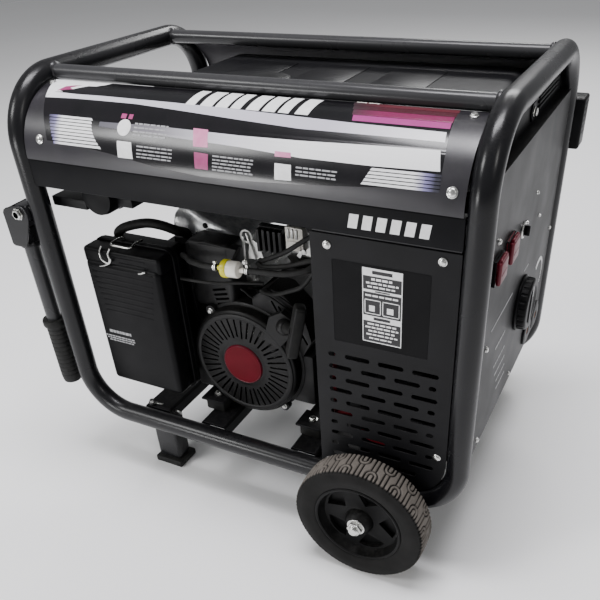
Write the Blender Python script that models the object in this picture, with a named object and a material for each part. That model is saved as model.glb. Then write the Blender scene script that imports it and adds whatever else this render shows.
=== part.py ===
"""Open-frame petrol welder-generator, as an assembly of separate pieces.

Lengths are in millimetres in a bench frame and become metres when a piece is placed. The bench
frame starts on the centreline of the front bottom rail, at the left end: X to the right, Y to the
rear, Z up. The finished part stands on Z = 0 and is centred in X and Y on its bounding box.
"""
import math

import bmesh
import bpy
from mathutils import Matrix, Vector

MM = 0.001
GAP = 0.3                # clearance between touching pieces

# Frame, centreline to centreline
LENGTH = 658.0
WIDTH = 445.0
HEIGHT = 531.0
TUBE_R = 16.0
BOTTOM_BEND = 75.0
TOP_BEND = 85.0
RAIL_R = 10.0
RAIL_INSET = 84.0
GROUND = -116.0          # floor level under the bottom rail's centreline

# Mid beam and tank panel
BEAM_LOW = 398.0
BEAM_HIGH = 437.0
BEAM_FACE = -10.0
SHEET = 2.0
PANEL_R = 85.0

# Wheels and feet
WHEEL_R = 100.0
WHEEL_WIDTH = 48.0
WHEEL_X = 537.0
WHEEL_Z = GROUND + WHEEL_R
WHEEL_FACE = -26.5       # inner face of the front wheel
STUB_R = 8.0
FOOT_X = (100.0, 146.0)
FOOT_Y = (20.0, 52.0)
PAD_HEIGHT = 12.0

# Folding handles
PIVOT_X = -25.5
PIVOT_Z = 354.0
HANDLE_X = -44.0
HANDLE_R = 12.0

# Engine
CRANK_X = 284.0
CRANK_Z = 116.0
SHAFT_R = 18.0
BORE_CLEARANCE = 0.4
RECOIL_R = 94.0
RECOIL_FACE = 60.0
HUB_DISC_R = 35.0
RECOIL_SLOTS = 18
HOUSING_R = 100.0
PULL = (0.6, -0.8, 0.0)  # the way the rope is pulled
EYELET = (374.0, 52.0, 208.0)
GRIP = (403.0, 29.0, 221.0)
GRIP_LEAN = math.radians(-13)
LEAN = math.radians(35)  # cylinder, from upright towards the air cleaner

# Right-hand electronics bay
BAY_X = (452.0, 642.0)
BAY_Z = (19.0, 393.0)
PANEL_X = 668.0          # outer face of the control panel
PANEL_Z = (82.0, 472.0)
END_SHEET_X = 652.0      # outer face of the sheet above it
SLOT_HEIGHT = 7.0
SLOT_TOP = 223.0
ROW_PITCH = 19.2
SLOT_ROWS = {0: ((471, 481), (495, 530), (542, 577), (589, 624)),
             1: ((471, 504), (518, 553), (565, 600))}

# Controls on the right end, as (y, z)
OUTLETS = {"front": (50.0, 356.0), "rear": (107.0, 357.0)}
WELD_SOCKETS = ((325.0, 118.0), (382.0, 118.0))
KNOB = (241.0, 213.0)
SWITCH = (184.0, 350.0)

# Outermost X of the folded handles' grips and of the terminal box
LEFT_END = HANDLE_X - 20.0
RIGHT_END = 686.0
BENCH = Vector((-(LEFT_END + RIGHT_END) / 2, -WIDTH / 2, -GROUND))

BLACK = (0.012, 0.012, 0.014)


def clear_scene():
    for obj in list(bpy.data.objects):
        bpy.data.objects.remove(obj, do_unlink=True)


def material(name, colour, roughness, metallic=0.0):
    mat = bpy.data.materials.get(name)
    if mat is None:
        mat = bpy.data.materials.new(name)
        mat.use_nodes = True
        shader = mat.node_tree.nodes["Principled BSDF"]
        shader.inputs["Base Color"].default_value = (*colour, 1.0)
        shader.inputs["Roughness"].default_value = roughness
        shader.inputs["Metallic"].default_value = metallic
    return mat


def palette():
    """The finishes, by the name of the slot that uses them."""
    return {
        "frame_paint": material("frame_paint", BLACK, 0.28),
        "sheet_paint": material("sheet_paint", BLACK, 0.35),
        "engine_black": material("engine_black", (0.015, 0.015, 0.015), 0.5),
        "black_plastic": material("black_plastic", (0.02, 0.02, 0.021), 0.45),
        "rubber": material("rubber", (0.02, 0.02, 0.02), 0.8),
        "tyre": material("tyre", (0.10, 0.095, 0.09), 0.85),
        "zinc": material("zinc", (0.62, 0.62, 0.6), 0.3, 1.0),
        "cast_alloy": material("cast_alloy", (0.5, 0.5, 0.5), 0.45, 1.0),
        "red_plastic": material("red_plastic", (0.32, 0.015, 0.045), 0.35),
        "yellow_plastic": material("yellow_plastic", (0.75, 0.62, 0.12), 0.4),
        "copper_steel": material("copper_steel", (0.35, 0.2, 0.12), 0.5, 1.0),
    }


# ---------------------------------------------------------------- placing and cutting


def place(name, bm, mat, pivot=(0.0, 0.0, 0.0), sharp=35.0):
    """Turns bench millimetres into a named object whose origin is the bench point pivot."""
    bmesh.ops.recalc_face_normals(bm, faces=bm.faces)
    if bm.calc_volume(signed=True) < 0:
        bmesh.ops.reverse_faces(bm, faces=bm.faces)
    bmesh.ops.translate(bm, verts=bm.verts, vec=-Vector(pivot))
    bmesh.ops.scale(bm, verts=bm.verts, vec=(MM, MM, MM))
    mesh = bpy.data.meshes.new(name)
    bm.to_mesh(mesh)
    bm.free()
    mesh.shade_smooth()
    mesh.set_sharp_from_angle(angle=math.radians(sharp))
    obj = bpy.data.objects.new(name, mesh)
    obj.location = (Vector(pivot) + BENCH) * MM
    bpy.context.scene.collection.objects.link(obj)
    if mat:
        mesh.materials.append(mat)
    return obj


def boolean(obj, bm, operation):
    """Adds or removes the shape in bm, which stays in the scene as a hidden guide."""
    guide = place(f"{obj.name}_guide_{len(obj.modifiers)}", bm, None)
    guide.hide_render = True
    guide.display_type = "WIRE"
    mod = obj.modifiers.new(operation.lower(), "BOOLEAN")
    mod.operation = operation
    mod.solver = "EXACT"
    mod.object = guide
    return obj


def cut(obj, bm):
    return boolean(obj, bm, "DIFFERENCE")


def join(obj, bm):
    return boolean(obj, bm, "UNION")


# ---------------------------------------------------------------- shapes, in bench millimetres


def box(xs, ys, zs, bevel=0.0, segments=2):
    bm = bmesh.new()
    bmesh.ops.create_cube(bm, size=1.0)
    size = Vector((xs[1] - xs[0], ys[1] - ys[0], zs[1] - zs[0]))
    bmesh.ops.scale(bm, verts=bm.verts, vec=size)
    centre = Vector((sum(xs), sum(ys), sum(zs))) / 2
    bmesh.ops.translate(bm, verts=bm.verts, vec=centre)
    if bevel:
        bmesh.ops.bevel(bm, geom=bm.edges[:], offset=bevel, segments=segments, profile=0.5,
                        affect="EDGES", clamp_overlap=True)
    return bm


def turned(centre, axis, profile, steps=24, closed=False):
    """A turned piece: profile lists (radius, height along axis). Radius 0 is a pole.

    closed joins the last profile point to the first, for a ring round an open bore."""
    bm = bmesh.new()
    along = Vector(axis).normalized()
    side = along.orthogonal().normalized()
    if abs(along.z) < 0.9:
        side = along.cross(Vector((0, 0, 1))).normalized()
    other = along.cross(side)
    rings = []
    for radius, height in profile:
        base = Vector(centre) + along * height
        if radius == 0:
            rings.append([bm.verts.new(base)])
            continue
        ring = []
        for i in range(steps):
            turn = 2 * math.pi * i / steps
            ring.append(bm.verts.new(base + radius * (side * math.cos(turn) + other * math.sin(turn))))
        rings.append(ring)
    pairs = list(zip(rings, rings[1:]))
    if closed:
        pairs.append((rings[-1], rings[0]))
    for low, high in pairs:
        for i in range(steps):
            j = (i + 1) % steps
            if len(low) == 1:
                bm.faces.new((low[0], high[i], high[j]))
            elif len(high) == 1:
                bm.faces.new((low[i], low[j], high[0]))
            else:
                bm.faces.new((low[i], low[j], high[j], high[i]))
    return bm


def rod(start, end, radius, steps=16):
    start, end = Vector(start), Vector(end)
    length = (end - start).length
    return turned(start, end - start, [(0, 0), (radius, 0), (radius, length), (0, length)], steps)


def ring(centre, axis, inner, outer, low, high, steps=24):
    profile = [(inner, low), (outer, low), (outer, high), (inner, high)]
    return turned(centre, axis, profile, steps, closed=True)


def prism(outline, axis, low, high):
    """A 2D outline pushed along axis: (y, z) points for X, (x, z) for Y, (x, y) for Z."""
    bm = bmesh.new()

    def point(a, b, along):
        if axis == "X":
            return (along, a, b)
        if axis == "Y":
            return (a, along, b)
        return (a, b, along)

    first = [bm.verts.new(point(a, b, low)) for a, b in outline]
    last = [bm.verts.new(point(a, b, high)) for a, b in outline]
    bm.faces.new(first)
    bm.faces.new(reversed(last))
    for i in range(len(outline)):
        j = (i + 1) % len(outline)
        bm.faces.new((first[j], first[i], last[i], last[j]))
    return bm


def rounded_outline(xs, zs, radius, steps=4):
    points = []
    corners = [(xs[1] - radius, zs[1] - radius, 0), (xs[0] + radius, zs[1] - radius, 90),
               (xs[0] + radius, zs[0] + radius, 180), (xs[1] - radius, zs[0] + radius, 270)]
    for cx, cz, start in corners:
        for i in range(steps + 1):
            turn = math.radians(start + 90 * i / steps)
            points.append((cx + radius * math.cos(turn), cz + radius * math.sin(turn)))
    return points


def rounded_path(corners, radius, steps=6):
    """Points along straight runs between corners, with each inner corner bent to the radius."""
    corners = [Vector(c) for c in corners]
    path = [corners[0]]
    for before, corner, after in zip(corners, corners[1:], corners[2:]):
        u = (before - corner).normalized()
        v = (after - corner).normalized()
        half = u.angle(v) / 2
        centre = corner + (u + v).normalized() * radius / math.sin(half)
        start = corner + u * radius / math.tan(half) - centre
        end = corner + v * radius / math.tan(half) - centre
        for i in range(steps + 1):
            path.append(centre + start.slerp(end, i / steps).normalized() * radius)
    path.append(corners[-1])
    return path


def smooth_path(points, steps=3):
    """Catmull-Rom points through a hand-laid route."""
    points = [Vector(p) for p in points]
    ends = [points[0] * 2 - points[1]] + points + [points[-1] * 2 - points[-2]]
    path = []
    for a, b, c, d in zip(ends, ends[1:], ends[2:], ends[3:]):
        for i in range(steps):
            t = i / steps
            path.append(0.5 * ((2 * b) + (c - a) * t + (2 * a - 5 * b + 4 * c - d) * t * t
                               + (3 * b - a - 3 * c + d) * t ** 3))
    path.append(points[-1])
    return path


def swept(path, radius, sides=12):
    """A round bar along a path, with flat ends. Each ring keeps the twist of the one before."""
    bm = bmesh.new()
    path = [Vector(p) for p in path]
    side = (path[1] - path[0]).orthogonal().normalized()
    rings = []
    for i, centre in enumerate(path):
        before = path[max(i - 1, 0)]
        after = path[min(i + 1, len(path) - 1)]
        along = (after - before).normalized()
        side = (side - along * side.dot(along)).normalized()
        other = along.cross(side)
        turns = [2 * math.pi * k / sides for k in range(sides)]
        rings.append([bm.verts.new(centre + radius * (side * math.cos(t) + other * math.sin(t)))
                      for t in turns])
    for low, high in zip(rings, rings[1:]):
        for k in range(sides):
            m = (k + 1) % sides
            bm.faces.new((low[k], low[m], high[m], high[k]))
    bm.faces.new(reversed(rings[0]))
    bm.faces.new(rings[-1])
    return bm


def gather(parts):
    """Several separate shapes in one bmesh, for a cutter with many holes."""
    whole = bmesh.new()
    for part in parts:
        mesh = bpy.data.meshes.new("part")
        part.to_mesh(mesh)
        part.free()
        whole.from_mesh(mesh)
        bpy.data.meshes.remove(mesh)
    return whole


def mirrored(value, side):
    """A bench Y on the front half, or its mirror on the rear half."""
    return value if side == "front" else WIDTH - value


def span(low, high, side):
    return tuple(sorted((mirrored(low, side), mirrored(high, side))))


# ---------------------------------------------------------------- frame


def frame_hoop(side, mats):
    """One long side: bottom rail, two uprights and half of each top cross tube, in one bent tube.

    The thin top rail, the stub axle on its bracket and the handle's pivot lug are welded to it."""
    y = mirrored(0, side)
    middle = mirrored(WIDTH / 2 - GAP / 2, side)
    low = rounded_path([(0, y, HEIGHT / 2), (0, y, 0), (LENGTH, y, 0), (LENGTH, y, HEIGHT / 2)],
                       BOTTOM_BEND)
    left = rounded_path([(0, middle, HEIGHT), (0, y, HEIGHT), (0, y, HEIGHT / 2)], TOP_BEND)
    right = rounded_path([(LENGTH, y, HEIGHT / 2), (LENGTH, y, HEIGHT), (LENGTH, middle, HEIGHT)],
                         TOP_BEND)
    hoop = place(f"frame_{side}_hoop", swept(left[:-1] + low[1:-1] + right[1:], TUBE_R), mats["frame_paint"])

    rail_y = mirrored(RAIL_INSET, side)
    join(hoop, rod((0, rail_y, HEIGHT), (LENGTH, rail_y, HEIGHT), RAIL_R, 12))

    plate_y = span(-TUBE_R - 5, -TUBE_R + 3, side)
    join(hoop, prism([(WHEEL_X - 40, 12), (WHEEL_X + 40, 12), (WHEEL_X + 22, WHEEL_Z - 22),
                      (WHEEL_X - 22, WHEEL_Z - 22)], "Y", *plate_y))
    stub_end = mirrored(WHEEL_FACE - WHEEL_WIDTH - 12, side)
    join(hoop, rod((WHEEL_X, mirrored(-TUBE_R - 2, side), WHEEL_Z), (WHEEL_X, stub_end, WHEEL_Z), STUB_R))

    join(hoop, box((PIVOT_X - 9, -TUBE_R + 3), (y - 15.5, y + 15.5), (PIVOT_Z - 11, PIVOT_Z + 12)))
    bolt = [(0, -27), (8, -27), (8, -21.5), (5, -21.5), (5, 21.5), (8, 21.5), (8, 27), (0, 27)]
    join(hoop, turned((PIVOT_X, y, PIVOT_Z), (0, 1, 0), bolt, 12))


def side_beam(side, mats):
    """Folded sheet channel between the uprights, under the tank panel."""
    face, back = BEAM_FACE, BEAM_FACE + 14
    outline = [(face, BEAM_LOW), (back, BEAM_LOW), (back, BEAM_LOW + SHEET),
               (face + SHEET, BEAM_LOW + SHEET),
               (face + SHEET, BEAM_HIGH - SHEET), (back, BEAM_HIGH - SHEET), (back, BEAM_HIGH),
               (face, BEAM_HIGH)]
    outline = [(mirrored(y, side), z) for y, z in outline]
    bm = prism(outline, "X", TUBE_R + GAP, LENGTH - TUBE_R - GAP)
    return place(f"side_beam_{side}", bm, mats["frame_paint"])


def tank_panel(side, mats):
    """Curved decal panel that rises from the beam and tucks in under the top rail."""
    low = BEAM_HIGH + GAP
    centre_y = BEAM_FACE - SHEET + PANEL_R
    steps = 14
    outer, inner = [], []
    for i in range(steps + 1):
        turn = math.radians(180 - 92 * i / steps)
        for radius, line in ((PANEL_R, outer), (PANEL_R - SHEET, inner)):
            line.append((mirrored(centre_y + radius * math.cos(turn), side), low + radius * math.sin(turn)))
    bm = prism(outer + inner[::-1], "X", TUBE_R + 1, LENGTH - TUBE_R - 1)
    return place(f"tank_panel_{side}", bm, mats["sheet_paint"])


def cross_member(name, xs, mats, flange=3.0):
    """Upturned channel welded between the two bottom rails."""
    low, high = -11.0, 11.0
    outline = [(xs[0], low), (xs[0], high), (xs[1], high), (xs[1], low), (xs[1] - flange, low),
               (xs[1] - flange, high - flange), (xs[0] + flange, high - flange), (xs[0] + flange, low)]
    bm = prism(outline, "Y", TUBE_R + GAP, WIDTH - TUBE_R - GAP)
    return place(name, bm, mats["frame_paint"])


def feet(mats):
    member = cross_member("cross_member_left", (FOOT_X[0] - 3, FOOT_X[1] + 3), mats)
    for side in ("front", "rear"):
        ys = span(*FOOT_Y, side)
        join(member, box(FOOT_X, ys, (GROUND + PAD_HEIGHT, 9.5)))
        pad = box((FOOT_X[0] - 4, FOOT_X[1] + 6), (ys[0] - 7, ys[1] + 7),
                  (GROUND, GROUND + PAD_HEIGHT - GAP), 2.0, 1)
        place(f"foot_pad_{side}", pad, mats["rubber"])


def bay_floor(mats):
    """Right cross member with the tray of the electronics bay welded to its side."""
    member = cross_member("cross_member_right", (384, 430), mats)
    ys = (TUBE_R + 1, WIDTH - TUBE_R - 1)
    join(member, box((428, 600), ys, (-6, -3)))
    join(member, box((597, 600), ys, (-4, 12)))


# ---------------------------------------------------------------- wheels


def wheel(side, mats):
    out = -1 if side == "front" else 1
    hub = (WHEEL_X, mirrored(WHEEL_FACE, side), WHEEL_Z)
    axis = (0, out, 0)
    w = WHEEL_WIDTH
    tyre = [(67, 3), (80, 0), (94, 3), (99, 9), (WHEEL_R, w / 2), (99, w - 9), (94, w - 3), (80, w),
            (67, w - 3)]
    place(f"tyre_{side}", turned(hub, axis, tyre, 24, closed=True), mats["tyre"], hub)
    rim = [(STUB_R + 0.3, 0), (18, 0), (18, w / 2 - 4), (58, w / 2 - 4), (60, 4), (67 - GAP, 4),
           (67 - GAP, w - 4), (60, w - 4), (55, w / 2 + 4), (22, w / 2 + 4), (22, w), (STUB_R + 0.3, w)]
    place(f"rim_{side}", turned(hub, axis, rim, 24, closed=True), mats["black_plastic"], hub)

    nut = ring(hub, axis, (STUB_R + GAP) / math.cos(math.pi / 6), 13, w + GAP, w + 8, 6)
    place(f"wheel_nut_{side}", nut, mats["zinc"])


# ---------------------------------------------------------------- folding handles


def handle(side, mats):
    y = mirrored(0, side)
    pivot = (PIVOT_X, y, PIVOT_Z)
    cheek = [(-60, 358), (-20, 367), (-8, 364), (-8, 338), (-30, 300), (-60, 300)]
    fork = place(f"handle_{side}", prism(cheek, "Y", y - 21, y + 21), mats["frame_paint"], pivot)
    cut(fork, box((-57, 10), (y - 18, y + 18), (326, 380)))
    cut(fork, rod((PIVOT_X, y - 30, PIVOT_Z), (PIVOT_X, y + 30, PIVOT_Z), 5.4, 12))
    cut(fork, box((-29, 10), (y - 18, y + 18), (280, 330)))
    join(fork, rod((HANDLE_X, y, 310), (HANDLE_X, y, 48), HANDLE_R))

    grip = [(0, 38), (14, 38), (16.5, 43), (16.5, 150), (20, 153), (20, 163), (HANDLE_R + 0.4, 163),
            (HANDLE_R + 0.4, 47.5), (0, 47.5)]
    place(f"handle_grip_{side}", turned((HANDLE_X, y, 0), (0, 0, 1), grip, 16), mats["rubber"], pivot)


# ---------------------------------------------------------------- covers and panels


def bay_cover(side, mats):
    """Sheet cover of the electronics bay, with staggered rows of cooling slots."""
    ys = span(-6, -4, side)
    corner = (LENGTH - BOTTOM_BEND, BOTTOM_BEND)
    reach = BOTTOM_BEND - TUBE_R - 1
    outline = [(BAY_X[0], BAY_Z[1]), (BAY_X[0], BAY_Z[0])]
    for turn in range(-72, 1, 12):
        angle = math.radians(turn)
        outline.append((corner[0] + reach * math.cos(angle), corner[1] + reach * math.sin(angle)))
    outline += [(BAY_X[1], corner[1]), (BAY_X[1], BAY_Z[1])]
    cover = place(f"bay_cover_{side}", prism(outline, "Y", *ys), mats["sheet_paint"])
    slots = []
    for row in range(10):
        z = SLOT_TOP - row * ROW_PITCH
        for xs in SLOT_ROWS[row % 2]:
            slots.append(box(xs, (ys[0] - 5, ys[1] + 5), (z - SLOT_HEIGHT / 2, z + SLOT_HEIGHT / 2)))
    cut(cover, gather(slots))


def control_panel(mats):
    """Folded sheet on the right end: control face below, set-back end sheet above."""
    low, high = TUBE_R + 1.5, WIDTH - TUBE_R - 1.5
    corners = [(low, PANEL_Z[0]), (high, PANEL_Z[0]), (high, 448), (high - 6, PANEL_Z[1]),
               (low + 6, PANEL_Z[1]), (low, 448)]
    panel = place("control_panel", prism(corners, "X", PANEL_X - SHEET, PANEL_X), mats["sheet_paint"])
    for ys in ((low, low + SHEET), (high - SHEET, high)):
        join(panel, box((END_SHEET_X - 14, PANEL_X - 1), ys, (PANEL_Z[0], 437)))
    for z in (PANEL_Z[0], PANEL_Z[1] - SHEET):
        join(panel, box((END_SHEET_X - 2, PANEL_X - 1), (low + 10, high - 10), (z, z + SHEET)))

    bend = TOP_BEND - TUBE_R - 1.5
    outline = [(low + 10, PANEL_Z[1] - 12), (high - 10, PANEL_Z[1] - 12)]
    for centre_y, start in ((WIDTH - TOP_BEND, 30), (TOP_BEND, 90)):
        for turn in range(start, start + 61, 15):
            outline.append((centre_y + bend * math.cos(math.radians(turn)),
                            HEIGHT - TOP_BEND + bend * math.sin(math.radians(turn))))
    join(panel, prism(outline, "X", END_SHEET_X - SHEET, END_SHEET_X))
    join(panel, box((END_SHEET_X - 16, END_SHEET_X - 1), (36, WIDTH - 36), (BEAM_HIGH - 2, BEAM_HIGH)))
    join(panel, box((END_SHEET_X - 3, PANEL_X - 1), (36, WIDTH - 36), (BEAM_HIGH - 2, BEAM_HIGH)))

    for y, z in OUTLETS.values():
        join(panel, box((PANEL_X - 1, PANEL_X + 4), (y - 18, y + 18), (z - 16, z + 16)))
    for y, z in WELD_SOCKETS:
        profile = [(0, -16), (20, -16), (24, -1), (24, 3), (22, 4), (0, 4)]
        join(panel, turned((PANEL_X, y, z), (1, 0, 0), profile, 16))
        cut(panel, rod((PANEL_X - 14, y, z), (PANEL_X + 30, y, z), 7, 16))


def outlet_cover(side, mats):
    """Sprung flap over a socket, hinged along its top edge."""
    y, z = OUTLETS[side]
    hinge = (PANEL_X + 7.0, y, z + 15)
    body = box((PANEL_X + 4 + GAP, PANEL_X + 10), (y - 16.5, y + 16.5), (z - 15, z + 14), 2.0, 2)
    flap = place(f"outlet_cover_{side}", body, mats["red_plastic"], hinge)
    join(flap, rod((hinge[0], y - 13, hinge[2]), (hinge[0], y + 13, hinge[2]), 2.5, 10))


def panel_controls(mats):
    face = PANEL_X + GAP
    knob_centre = (face, *KNOB)
    knob = [(0, 0), (42, 0), (42, 3), (39, 5), (39, 14), (36, 17), (0, 17)]
    place("current_knob", turned(knob_centre, (1, 0, 0), knob, 20), mats["black_plastic"], knob_centre)

    switch_centre = (face, *SWITCH)
    key = [(0, 0), (11, 0), (11, 3), (8, 4), (8, 10), (0, 10)]
    place("engine_switch", turned(switch_centre, (1, 0, 0), key, 16), mats["zinc"], switch_centre)


def rear_box(mats):
    """Ribbed terminal box that stands out behind the rear right upright."""
    ys = (WIDTH + TUBE_R + GAP, WIDTH + TUBE_R + 42)
    obj = place("rear_terminal_box", box((612, RIGHT_END), ys, (374, 450), 3.0, 1), mats["black_plastic"])
    for i in range(5):
        z = 392 + i * 11
        cut(obj, box((618, 680), (ys[1] - 2.5, ys[1] + 5), (z, z + 5)))


# ---------------------------------------------------------------- tank and fuel

TANK_X = (112.0, 622.0)
TANK_Y = (40.0, WIDTH - 40.0)
TANK_Z = (386.0, 505.0)
CAP_CENTRE = (330.0, 130.0, TANK_Z[1])
TAP_CENTRE = (430.0, 62.0, TANK_Z[0])


def fuel_tank(mats):
    """Two pressed shells with a seam flange, hollow and open at the filler neck."""
    tank = place("fuel_tank", box(TANK_X, TANK_Y, TANK_Z, 24.0, 2), mats["sheet_paint"])
    seam = rounded_outline((TANK_X[0] - 8, TANK_X[1] + 8), (TANK_Y[0] - 8, TANK_Y[1] + 8), 26, 3)
    join(tank, prism(seam, "Z", 440, 444))
    x, y, top = CAP_CENTRE
    join(tank, rod((x, y, top - 1), (x, y, top + 8), 24, 20))
    gauge = [(0, -1), (20, -1), (20, 7), (17, 9), (0, 9)]
    join(tank, turned((480, 112, top), (0, 0, 1), gauge, 20))
    x, y, low = TAP_CENTRE
    join(tank, box((x - 12, x + 12), (y - 12, y + 12), (low - 24, low + 8)))
    join(tank, rod((x, y, low - 22), (x, y, low - 40), 5.0, 12))
    wall = 2.5
    cut(tank, box((TANK_X[0] + wall, TANK_X[1] - wall), (TANK_Y[0] + wall, TANK_Y[1] - wall),
                  (TANK_Z[0] + wall, TANK_Z[1] - wall), 22.0, 2))
    cut(tank, rod((*CAP_CENTRE[:2], top - 10), (*CAP_CENTRE[:2], top + 20), 21, 20))

    cap = [(0, 9), (24.6, 9), (24.6, 2), (31, 2), (33, 6), (33, 22), (29, 26), (0, 26)]
    place("fuel_cap", turned(CAP_CENTRE, (0, 0, 1), cap, 20), mats["black_plastic"], CAP_CENTRE)

    lever_pivot = (x, y - 12 - GAP, low - 12)
    lever = place("fuel_tap_lever", rod(lever_pivot, (x, y - 20, low - 12), 8, 12), mats["red_plastic"],
                  lever_pivot)
    join(lever, box((x - 3, x + 26), (y - 20, y - 15), (low - 15, low - 9)))


def fuel_line(mats):
    """In-line filter, the hose from the tap and the hose to the carburettor."""
    body = [(0, 0), (4, 0), (4, 8), (12, 10), (12, 34), (4, 36), (4, 44), (0, 44)]
    collar = [(11.5, 10.5), (13.5, 10.5), (13.5, 18), (11.5, 18)]
    start = (277, 40, 293)
    flow = (1, 0, 0.06)
    filt = place("fuel_filter", turned(start, flow, body, 14), mats["yellow_plastic"])
    join(filt, turned(start, flow, collar, 14, closed=True))
    right = [(322, 40, 296), (345, 40, 298), (385, 38, 303), (418, 44, 311), (429, 57, 322), (430, 62, 335),
             (430, 62, 345.6)]
    place("fuel_hose_tap", swept(smooth_path(right), 4.5, 8), mats["rubber"])
    left = [(276.4, 40, 293), (250, 41, 291), (222, 49, 289), (206, 61, 287), (191, 71, 284), (185, 84, 276),
            (185, 100, 258), (185, 112, 247), (185, 121.2, 246)]
    place("fuel_hose_carburettor", swept(smooth_path(left), 4.5, 8), mats["rubber"])


# ---------------------------------------------------------------- engine


def crank_point(y):
    return (CRANK_X, y, CRANK_Z)


def cylinder_frame():
    """Matrix from the cylinder's own space, with Z along its bore, to the bench."""
    turn = Matrix.Rotation(-LEAN, 4, "Y")
    return Matrix.Translation(Vector(crank_point(198))) @ turn


def cylinder_box(xs, ys, zs):
    bm = box(xs, ys, zs)
    bmesh.ops.transform(bm, matrix=cylinder_frame(), verts=bm.verts)
    return bm


def engine_block(mats):
    case = place("crankcase", box((206, 366), (126.5, 262), (34, 198), 10.0, 2), mats["engine_black"])
    join(case, box((200, 424), (140, 250), (11 + GAP, 36)))
    cut(case, rod(crank_point(100), crank_point(290), SHAFT_R + BORE_CLEARANCE, 24))
    cut(case, cylinder_box((-60, 60), (-60, 60), (80 - GAP, 200)))

    barrel = place("cylinder", cylinder_box((-48, 48), (-48, 48), (80, 186)), mats["cast_alloy"])
    for i in range(7):
        low = 92 + i * 12
        join(barrel, cylinder_box((-56, 56), (-53, 53), (low, low + 4)))
    rocker = cylinder_box((-44, 44), (-36, 36), (186 + GAP, 212))
    place("rocker_cover", rocker, mats["engine_black"])

    socket = (205.6, 205, 62)
    knob = [(0, 0), (12, 0), (12, 6), (9, 8), (9, 18), (0, 18)]
    place("oil_dipstick", turned(socket, (-1, 0, 0), knob, 12), mats["yellow_plastic"], socket)


def recoil(mats):
    front = RECOIL_FACE
    cover = [(HUB_DISC_R + GAP, 0), (86, 0), (RECOIL_R, 7), (RECOIL_R, 21), (RECOIL_R - 3, 21),
             (RECOIL_R - 3, 8), (85, 3), (HUB_DISC_R + GAP, 3)]
    shell = place("recoil_cover", turned(crank_point(front), (0, 1, 0), cover, 36, closed=True),
                  mats["engine_black"])
    slots = []
    for i in range(RECOIL_SLOTS):
        slot = box((48, 78), (-10, 6), (-2.8, 2.8))
        turn = Matrix.Rotation(2 * math.pi * i / RECOIL_SLOTS, 4, "Y")
        centre = Matrix.Translation(Vector(crank_point(front)))
        bmesh.ops.transform(slot, matrix=centre @ turn, verts=slot.verts)
        slots.append(slot)
    cut(shell, gather(slots))
    disc = [(0, -3), (HUB_DISC_R - 3, -3), (HUB_DISC_R, -1), (HUB_DISC_R, 3), (0, 3)]
    place("recoil_disc", turned(crank_point(front), (0, 1, 0), disc, 24), mats["red_plastic"])

    pulley = ring(crank_point(front + 5), (0, 1, 0), 12, 42, 0, 12, 24)
    place("recoil_pulley", pulley, mats["black_plastic"], crank_point(front + 5))

    grip_axis = Vector(PULL)
    centre = Vector(GRIP)
    lean = Matrix.Rotation(GRIP_LEAN, 4, PULL)
    bar = box((-10, 10), (-8, 8), (-41, 41), 5.0, 2)
    turn = Matrix.Rotation(math.atan2(PULL[1], PULL[0]), 4, "Z")
    bmesh.ops.transform(bar, matrix=Matrix.Translation(centre) @ lean @ turn, verts=bar.verts)
    grip = place("recoil_grip", bar, mats["rubber"], tuple(EYELET))
    join(grip, rod(Vector(EYELET) + grip_axis * 3, centre, 6.0, 10))


def fan_housing(mats):
    low, high = RECOIL_FACE + 21 + GAP, 126.0
    front = [(80, low), (HOUSING_R, low), (HOUSING_R, high), (HOUSING_R - 4, high),
             (HOUSING_R - 4, low + 4), (80, low + 4)]
    housing = place("fan_housing", turned(crank_point(0), (0, 1, 0), front, 32, closed=True),
                    mats["engine_black"])
    join(housing, box((192, 268), (low, high), (206, 306)))
    cut(housing, box((196, 264), (low + 4, high + 5), (180, 302)))
    cut(housing, rod(crank_point(low + 4), crank_point(high + 5), HOUSING_R - 4, 32))


def rotating_parts(mats):
    wheel_profile = [(SHAFT_R + BORE_CLEARANCE, 88), (40, 88), (44, 92), (90, 92), (90, 120), (78, 120),
                     (74, 100), (30, 100), (30, 120), (SHAFT_R + BORE_CLEARANCE, 120)]
    place("flywheel", turned(crank_point(0), (0, 1, 0), wheel_profile, 24, closed=True), mats["cast_alloy"],
          crank_point(100))
    shaft = [(0, 84), (SHAFT_R, 84), (SHAFT_R, 276), (70, 276), (70, 380), (16, 380), (16, 402), (0, 402)]
    rotor = turned(crank_point(0), (0, 1, 0), shaft, 24)
    place("rotor_shaft", rotor, mats["copper_steel"], crank_point(330))
    housing = [(72, 264), (98, 264), (100, 268), (100, 372), (104, 374), (104, 390), (96, 396), (16.6, 396),
               (16.6, 388), (72, 388)]
    place("stator", turned(crank_point(0), (0, 1, 0), housing, 24, closed=True), mats["cast_alloy"])


def air_cleaner(mats):
    case = place("air_cleaner_case", box((46, 172), (63, 104), (58, 290), 8.0, 2), mats["black_plastic"])
    join(case, prism(rounded_outline((40, 189), (50, 298), 12, 3), "Y", 60 + GAP, 65))
    lid = prism(rounded_outline((38, 189), (48, 300), 16, 4), "Y", 50, 60)
    obj = place("air_cleaner_lid", lid, mats["black_plastic"])
    join(obj, box((44, 184), (15, 52), (54, 294), 9.0, 2))
    bail = [(92, 60, 303), (92, 44, 305), (92, 30, 303), (110, 28, 303), (128, 30, 303), (128, 44, 305),
            (128, 60, 303)]
    place("air_cleaner_bail", swept(bail, 1.6, 8), mats["zinc"], (110, 60, 303))


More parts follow.
